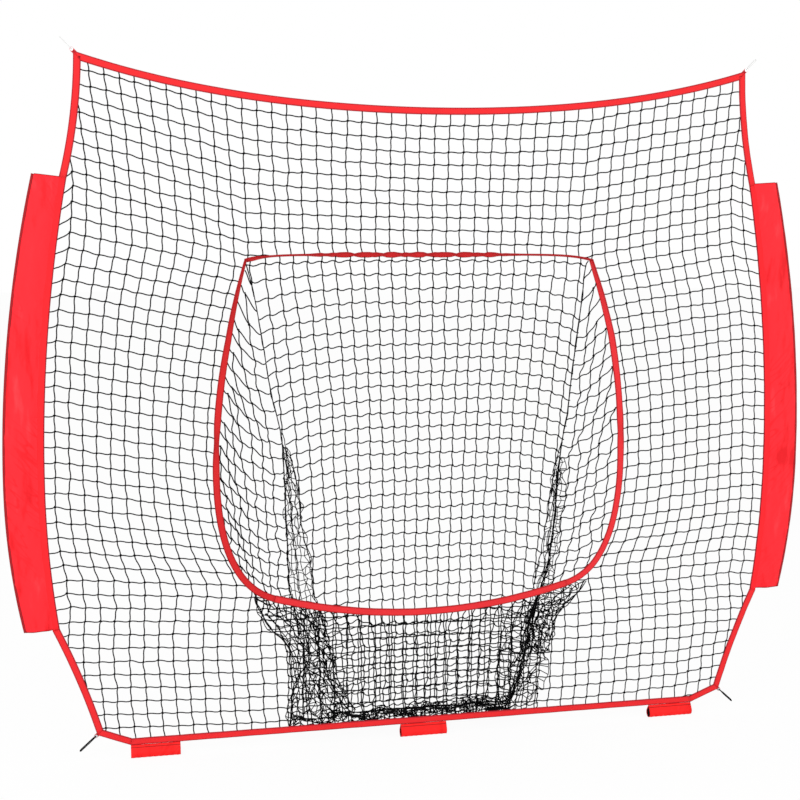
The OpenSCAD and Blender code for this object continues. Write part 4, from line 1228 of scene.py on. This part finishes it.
class Finish:
    """A material with one Principled shader, and short calls to add nodes to it."""

    def __init__(self, name, roughness, sheen=0.0, metallic=0.0, specular=0.5):
        self.material = bpy.data.materials.new(name)
        self.material.use_nodes = True
        self.tree = self.material.node_tree
        self.shader = self.tree.nodes["Principled BSDF"].inputs
        for socket, value in (("Roughness", roughness), ("Metallic", metallic), ("Sheen Weight", sheen),
                              ("Specular IOR Level", specular)):
            self.shader[socket].default_value = value

    def node(self, kind, inputs=(), **settings):
        return add_node(self.tree, kind, inputs, **settings)

    def math(self, operation, a, b=0.0, c=0.0):
        return self.node("ShaderNodeMath", {0: a, 1: b, 2: c}, operation=operation).outputs[0]

    def times(self, a, b):
        return self.math("MULTIPLY", a, b)

    def times_plus(self, a, b, c):
        return self.math("MULTIPLY_ADD", a, b, c)

    def weighed(self, a, share_a, b, share_b):
        """A sum of two values, each times its share."""
        return self.times_plus(a, share_a, self.times(b, share_b))

    def clamped(self, value, top):
        """The value, but not below 0 and not above the top."""
        return self.math("MINIMUM", self.math("MAXIMUM", value, 0.0), top)

    def off(self, value, middle):
        """How far the value is from a middle."""
        return self.math("ABSOLUTE", self.math("SUBTRACT", value, middle))

    def near(self, value, middle, reach):
        """1 where the value is less than `reach` from a middle, 0 elsewhere."""
        return self.math("LESS_THAN", self.off(value, middle), reach)

    def uv(self):
        """The two directions of the piece's own map."""
        here = self.node("ShaderNodeUVMap", uv_map="UVMap").outputs[0]
        return self.node("ShaderNodeSeparateXYZ", {0: here}).outputs[:2]

    def place(self):
        return self.node("ShaderNodeTexCoord").outputs["Object"]

    def axes(self):
        """x, y and z of a place on the object."""
        return self.node("ShaderNodeSeparateXYZ", {0: self.place()}).outputs

    def noise(self, vector, scale, detail=3.0):
        inputs = {"Vector": vector, "Scale": scale, "Detail": detail}
        return self.node("ShaderNodeTexNoise", inputs).outputs["Fac"]

    def stretched(self, scale, turn=(0.0, 0.0, 0.0)):
        """The object's own places, turned and drawn out."""
        inputs = {"Vector": self.place(), "Scale": scale, "Rotation": turn}
        return self.node("ShaderNodeMapping", inputs).outputs[0]

    def wave(self, value, period):
        """A sine of a value in metres, from 0 to 1."""
        return self.times_plus(self.math("SINE", self.times_plus(value, 2 * math.pi / period, 0.0)), 0.5, 0.5)

    def colours(self, share, *stops):
        """A ramp of colours, each at its place between 0 and 1."""
        ramp = self.node("ShaderNodeValToRGB", {0: share})
        first, last = ramp.color_ramp.elements
        for element, (position, colour) in ((first, stops[0]), (last, stops[-1])):
            element.position, element.color = position, (*colour, 1)
        for position, colour in stops[1:-1]:
            ramp.color_ramp.elements.new(position).color = (*colour, 1)
        return ramp.outputs[0]

    def blend(self, share, a, b):
        """One colour into another. Its sockets for numbers and colours are told apart by identifier."""
        node = self.node("ShaderNodeMix", data_type="RGBA")
        sockets = {socket.identifier: socket for socket in (*node.inputs, *node.outputs)}
        for name, value in (("Factor_Float", share), ("A_Color", a), ("B_Color", b)):
            give(self.tree, sockets[name], (*value, 1) if isinstance(value, tuple) else value)
        return sockets["Result_Color"]

    def done(self, colour, height, distance, strength=0.6, roughness=None):
        """Colour, bumps and, if it varies, roughness go into the shader."""
        bump = self.node("ShaderNodeBump", {"Height": height, "Strength": strength, "Distance": distance})
        give(self.tree, self.shader["Base Color"], colour)
        give(self.tree, self.shader["Normal"], bump.outputs[0])
        if roughness is not None:
            give(self.tree, self.shader["Roughness"], roughness)
        return self.material


# %% Twine and elastic
def twisted_twine():
    """Three strands laid in a twist: a wave of (distance along + a turn round), with lint in the grooves."""
    f = Finish("black_twine", 0.9, specular=0.05)
    along, turn = f.uv()
    lay = f.wave(f.times_plus(turn, 0.006, along), 0.002)
    tone = f.weighed(f.noise(f.place(), 900.0), 0.5, lay, 0.5)
    colour = f.colours(tone, (0.25, (0.001, 0.001, 0.0012)), (0.75, (0.007, 0.007, 0.008)))
    return f.done(colour, lay, 0.0004)


def braided_elastic(name, dark, light):
    """A braid: two waves that run round the cord in opposite turns, one over the other."""
    f = Finish(name, 0.9, specular=0.05)
    along, turn = f.uv()
    one, two = [f.wave(f.times_plus(turn, lead, along), 0.002) for lead in (0.004, -0.004)]
    braid = f.math("MAXIMUM", one, two)
    colour = f.colours(f.weighed(f.noise(f.place(), 700.0), 0.3, braid, 0.7), (0.2, dark), (0.9, light))
    return f.done(colour, braid, 0.0003)


twine_finish = twisted_twine()
black_elastic = braided_elastic("black_elastic", (0.001, 0.001, 0.001), (0.006, 0.006, 0.007))
pale_elastic = braided_elastic("pale_elastic", (0.50, 0.50, 0.50), (0.80, 0.80, 0.79))


# %% Tape, cloth, lining and steel
def darker(colour, share):
    return tuple(share * v for v in colour)


def woven_tape(name, body, edge, both=True):
    """Ribs across the tape every 0.9 mm, painted shade that darkens the folded edges, or only the inner one,
    and dashes of stitching 3 mm inside."""
    f = Finish(name, 0.7, specular=0.12)
    along, across = f.uv()
    rib = f.wave(along, 0.0009)
    slow = f.noise(f.place(), 14.0)
    tone = f.weighed(f.noise(f.place(), 420.0), 0.35, slow, 0.65)
    body_colour = f.colours(tone, (0.3, darker(body, 0.88)), (0.7, body))
    from_edge = f.math("SUBTRACT", 0.5, f.off(across, 0.5)) if both else f.math("SUBTRACT", 1.0, across)
    # Painted shade: towards the folded edges the colour turns to the darker edge colour.
    edge_shade_share = f.clamped(f.times_plus(from_edge, -1 / 0.10, 0.21 / 0.10), 1.0)
    body_colour = f.blend(edge_shade_share, body_colour, edge)
    dash = f.math("GREATER_THAN", f.wave(along, 0.004), 0.35)
    stitch = f.times(dash, f.near(from_edge, 0.15, 0.016))
    return f.done(f.blend(f.times(stitch, 0.6), body_colour, edge), f.weighed(stitch, -0.8, rib, 0.5), 0.0003)


def coated_nylon(name, colour, shade, light, lines, folds):
    """A plain weave of 0.6 mm in the bump, slow changes of tone and slanting creases. Tone and creases are
    painted:
    a noise drawn out aslant moves the colour between painted wrinkle shade and painted sheen, a slower noise
    adds random tone, and the creases are painted shade. Dark lines at given distances from the first edge,
    and dark bands round given heights, each with half its width, are in metres of the UV. The creases lie
    where a noise that is drawn out aslant crosses its middle value, and a slower noise says in which patches
    they show."""
    f = Finish(name, 0.6, specular=0.15)
    across, along = f.uv()
    weave = f.times(f.wave(across, 0.0006), f.wave(along, 0.0006))
    soft = f.noise(f.stretched((30.0, 4.0, 7.0), (0.0, 0.7, 0.0)), 1.0, 5.0)
    tone = f.weighed(soft, 0.65, f.noise(f.place(), 5.0, 4.0), 0.35)
    # Painted wrinkle shade at the darkest stop and painted sheen at the lightest, where the slanted noise is
    # low and high.
    base = f.colours(tone, (0.38, shade), (0.46, darker(colour, 0.93)), (0.56, colour), (0.70, light))
    with_crease = f.times(f.math("ADD", across, along), 6.0)
    over_crease = f.times(f.math("SUBTRACT", along, across), 34.0)
    slanted = f.node("ShaderNodeCombineXYZ", {0: with_crease, 1: over_crease, 2: f.axes()[0]}).outputs[0]
    crease_shade_lines = f.math("MAXIMUM", f.times_plus(f.off(f.noise(slanted, 1.0, 1.0), 0.5), -22.0, 1.0), 0.0)
    patch = f.clamped(f.times_plus(f.noise(f.place(), 3.1, 1.0), 5.0, -2.2), 0.9)
    # Painted shade in the slanting creases.
    base = f.blend(f.times(crease_shade_lines, patch), base, shade)
    # Dark lines and bands at the places each finish gives: painted shade, but for two stitch lines of the
    # base sleeves.
    dark = 0.0
    for value, place, half_width in [(across, p, 0.0008) for p in lines] + [(along, *fold) for fold in folds]:
        dark = f.math("MAXIMUM", f.near(value, place, half_width), dark)
    base = f.blend(f.times(dark, 0.8), base, darker(colour, 0.30))
    return f.done(base, f.times_plus(weave, 0.12, soft), 0.0016, 0.45)


def black_lining():
    f = Finish("black_lining", 0.85, specular=0.1)
    x, _, z = f.axes()
    weave = f.times(f.wave(x, 0.0008), f.wave(z, 0.0008))
    tone = f.weighed(f.noise(f.place(), 300.0), 0.5, weave, 0.5)
    return f.done(f.colours(tone, (0.2, (0.004, 0.004, 0.005)), (0.8, (0.02, 0.02, 0.022))), weave, 0.0003)


def rolled_steel():
    f = Finish("rolled_steel", 0.32, metallic=1.0)
    scratch = f.noise(f.stretched((900.0, 900.0, 160.0)), 1.0, 4.0)
    colour = f.colours(scratch, (0.3, (0.55, 0.56, 0.58)), (0.7, (0.78, 0.79, 0.80)))
    return f.done(colour, scratch, 0.0001, 0.3, f.times_plus(scratch, 0.25, 0.2))


def webbing():
    """A twill: ribs in both slants."""
    f = Finish("red_webbing", 0.65, sheen=0.2)
    x, _, z = f.axes()
    rib = f.times(f.wave(f.math("ADD", x, z), 0.0011), f.wave(f.math("SUBTRACT", x, z), 0.0011))
    tone = f.weighed(rib, 0.6, f.noise(f.place(), 350.0), 0.4)
    return f.done(f.colours(tone, (0.1, (0.42, 0.012, 0.016)), (0.9, (0.80, 0.035, 0.045))), rib, 0.0003)


# Each tape's second colour is painted shade for its folded edges.
border_finish = woven_tape("border_tape", (0.80, 0.024, 0.028), (0.42, 0.016, 0.024))
seam_finish = woven_tape("seam_tape", (0.95, 0.018, 0.025), (0.34, 0.010, 0.018), both=False)
trim_finish = woven_tape("trim_tape", (0.74, 0.030, 0.036), (0.40, 0.014, 0.018))
# A darker copy of the trim tape, for the opening's top and left lengths: painted shade.
painted_shade_trim_finish = woven_tape("painted_shade_trim_tape", (0.60, 0.018, 0.020), (0.36, 0.010, 0.013))
# The sleeve hems are dark red: painted shade of the sleeves' outer folds, with still darker edges.
hem_shade_finish = woven_tape("hem_shade_tape", (0.34, 0.014, 0.018), (0.28, 0.012, 0.016))
# The side sleeves: the second colour is painted wrinkle shade, the third painted sheen, and the dark bands at
# the foot and top edges are painted shade.
sleeve_finish = coated_nylon("sleeve_nylon", (0.98, 0.020, 0.030), (0.72, 0.008, 0.014), (1.0, 0.050, 0.062),
                             (), ((0.0, 0.0026), (SLEEVE_L, 0.0026)))
# The base sleeves: painted wrinkle shade and painted sheen in the second and third colours; the dark lines at
# the two ends and the band 49 mm round, the drop's underside, are painted shade, and the lines 12 and 100 mm
# round are stitch lines beside the flange.
base_finish = coated_nylon("base_nylon", (0.96, 0.016, 0.016), (0.78, 0.008, 0.008), (0.98, 0.030, 0.030),
                           (0.0, BASE_L), ((0.012, 0.0014), (0.049, 0.0050), (0.100, 0.0014)))
lining_finish, steel_finish, web_finish = black_lining(), rolled_steel(), webbing()


# %% Dress the pieces
def dress(piece, finish):
    piece.data.materials.clear()
    piece.data.materials.append(finish)


twine_pieces = [*netting, *pocket_seams, pocket_back, *side_nets, front, floor, hem_cord]
seams = [piece for piece in border if "seam" in piece.name]
# The opening's top and left lengths take the darker copy of the trim tape, painted shade, and the sleeve hems
# take the dark hem tape, painted shade of the sleeves' outer folds.
for pieces, finish in ((twine_pieces, twine_finish), (border, border_finish), (seams, seam_finish),
                       (rim_tapes[::3], trim_finish), (rim_tapes[1:3], painted_shade_trim_finish), (hems, hem_shade_finish),
                       (sleeves, sleeve_finish), (base_sleeves, base_finish), (loops[:2], black_elastic),
                       (loops[2:], pale_elastic)):
    for piece in pieces:
        dress(piece, finish)
for name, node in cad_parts.items():
    for part, finish in (("_tab", web_finish), ("_eyelet", steel_finish), ("_lining", lining_finish)):
        if part in name:
            dress(node, finish)
print("finishes", len(bpy.data.materials))

# %% [markdown]
# ## Floor, light and background
# A pale floor takes a faint shadow, and the world is an even white. The lamps add only a
# little shape: with them the light on a surface facing the camera adds up to about one,
# so a colour renders about as it is written.

# %% Floor and lights
def pale_floor():
    """A wide plane that glows nearly white for the camera and is a plain pale surface for all other light."""
    size, z = 30.0, -0.0158
    mesh = bpy.data.meshes.new("floor")
    corners = [(-size, -size, z), (size, -size, z), (size, size, z), (-size, size, z)]
    mesh.from_pydata(corners, [], [(0, 1, 2, 3)])
    material = bpy.data.materials.new("pale_floor")
    material.use_nodes = True
    tree = material.node_tree
    tree.nodes.clear()
    seen = add_node(tree, "ShaderNodeLightPath").outputs["Is Camera Ray"]
    share = add_node(tree, "ShaderNodeMath", {0: seen, 1: 0.94}, operation="MULTIPLY")
    plain = add_node(tree, "ShaderNodeBsdfDiffuse", {"Color": (0.93, 0.93, 0.925, 1)})
    glow = add_node(tree, "ShaderNodeEmission", {"Color": (1, 1, 1, 1)})
    shaders = {0: share.outputs[0], 1: plain.outputs[0], 2: glow.outputs[0]}
    mixed = add_node(tree, "ShaderNodeMixShader", shaders)
    add_node(tree, "ShaderNodeOutputMaterial", {0: mixed.outputs[0]})
    mesh.materials.append(material)
    put_in_scene("floor", mesh)


def white_world(strength):
    """White where the camera or a reflection looks past the object, and a plain even light elsewhere."""
    world = bpy.data.worlds.new("studio")
    bpy.context.scene.world = world
    world.use_nodes = True
    tree = world.node_tree
    path = add_node(tree, "ShaderNodeLightPath").outputs
    rays = {0: path["Is Camera Ray"], 1: path["Is Glossy Ray"]}
    seen = add_node(tree, "ShaderNodeMath", rays, operation="MAXIMUM")
    levels = {"Value": seen.outputs[0], "To Min": strength, "To Max": 1.0}
    level = add_node(tree, "ShaderNodeMapRange", levels)
    for socket, value in ((0, (1, 1, 1, 1)), (1, level.outputs[0])):
        give(tree, tree.nodes["Background"].inputs[socket], value)


def soft_lamp(name, place, target, size, power):
    data = bpy.data.lights.new(name, "AREA")
    data.shape, data.size, data.energy = "SQUARE", size, power
    back = unit(np.asarray(place, float) - target)
    right = unit(np.cross([0, 0, 1.0], back))
    put_in_scene(name, data).matrix_world = standing(right, np.cross(back, right), back, place)


pale_floor()
white_world(0.74)
soft_lamp("key", (-3.2, -4.6, 3.4), (0, 0, 1.1), 2.6, 160)
soft_lamp("fill", (4.0, -4.0, 2.2), (0, 0, 1.1), 3.0, 75)
bpy.context.scene.view_settings.view_transform = "Standard"
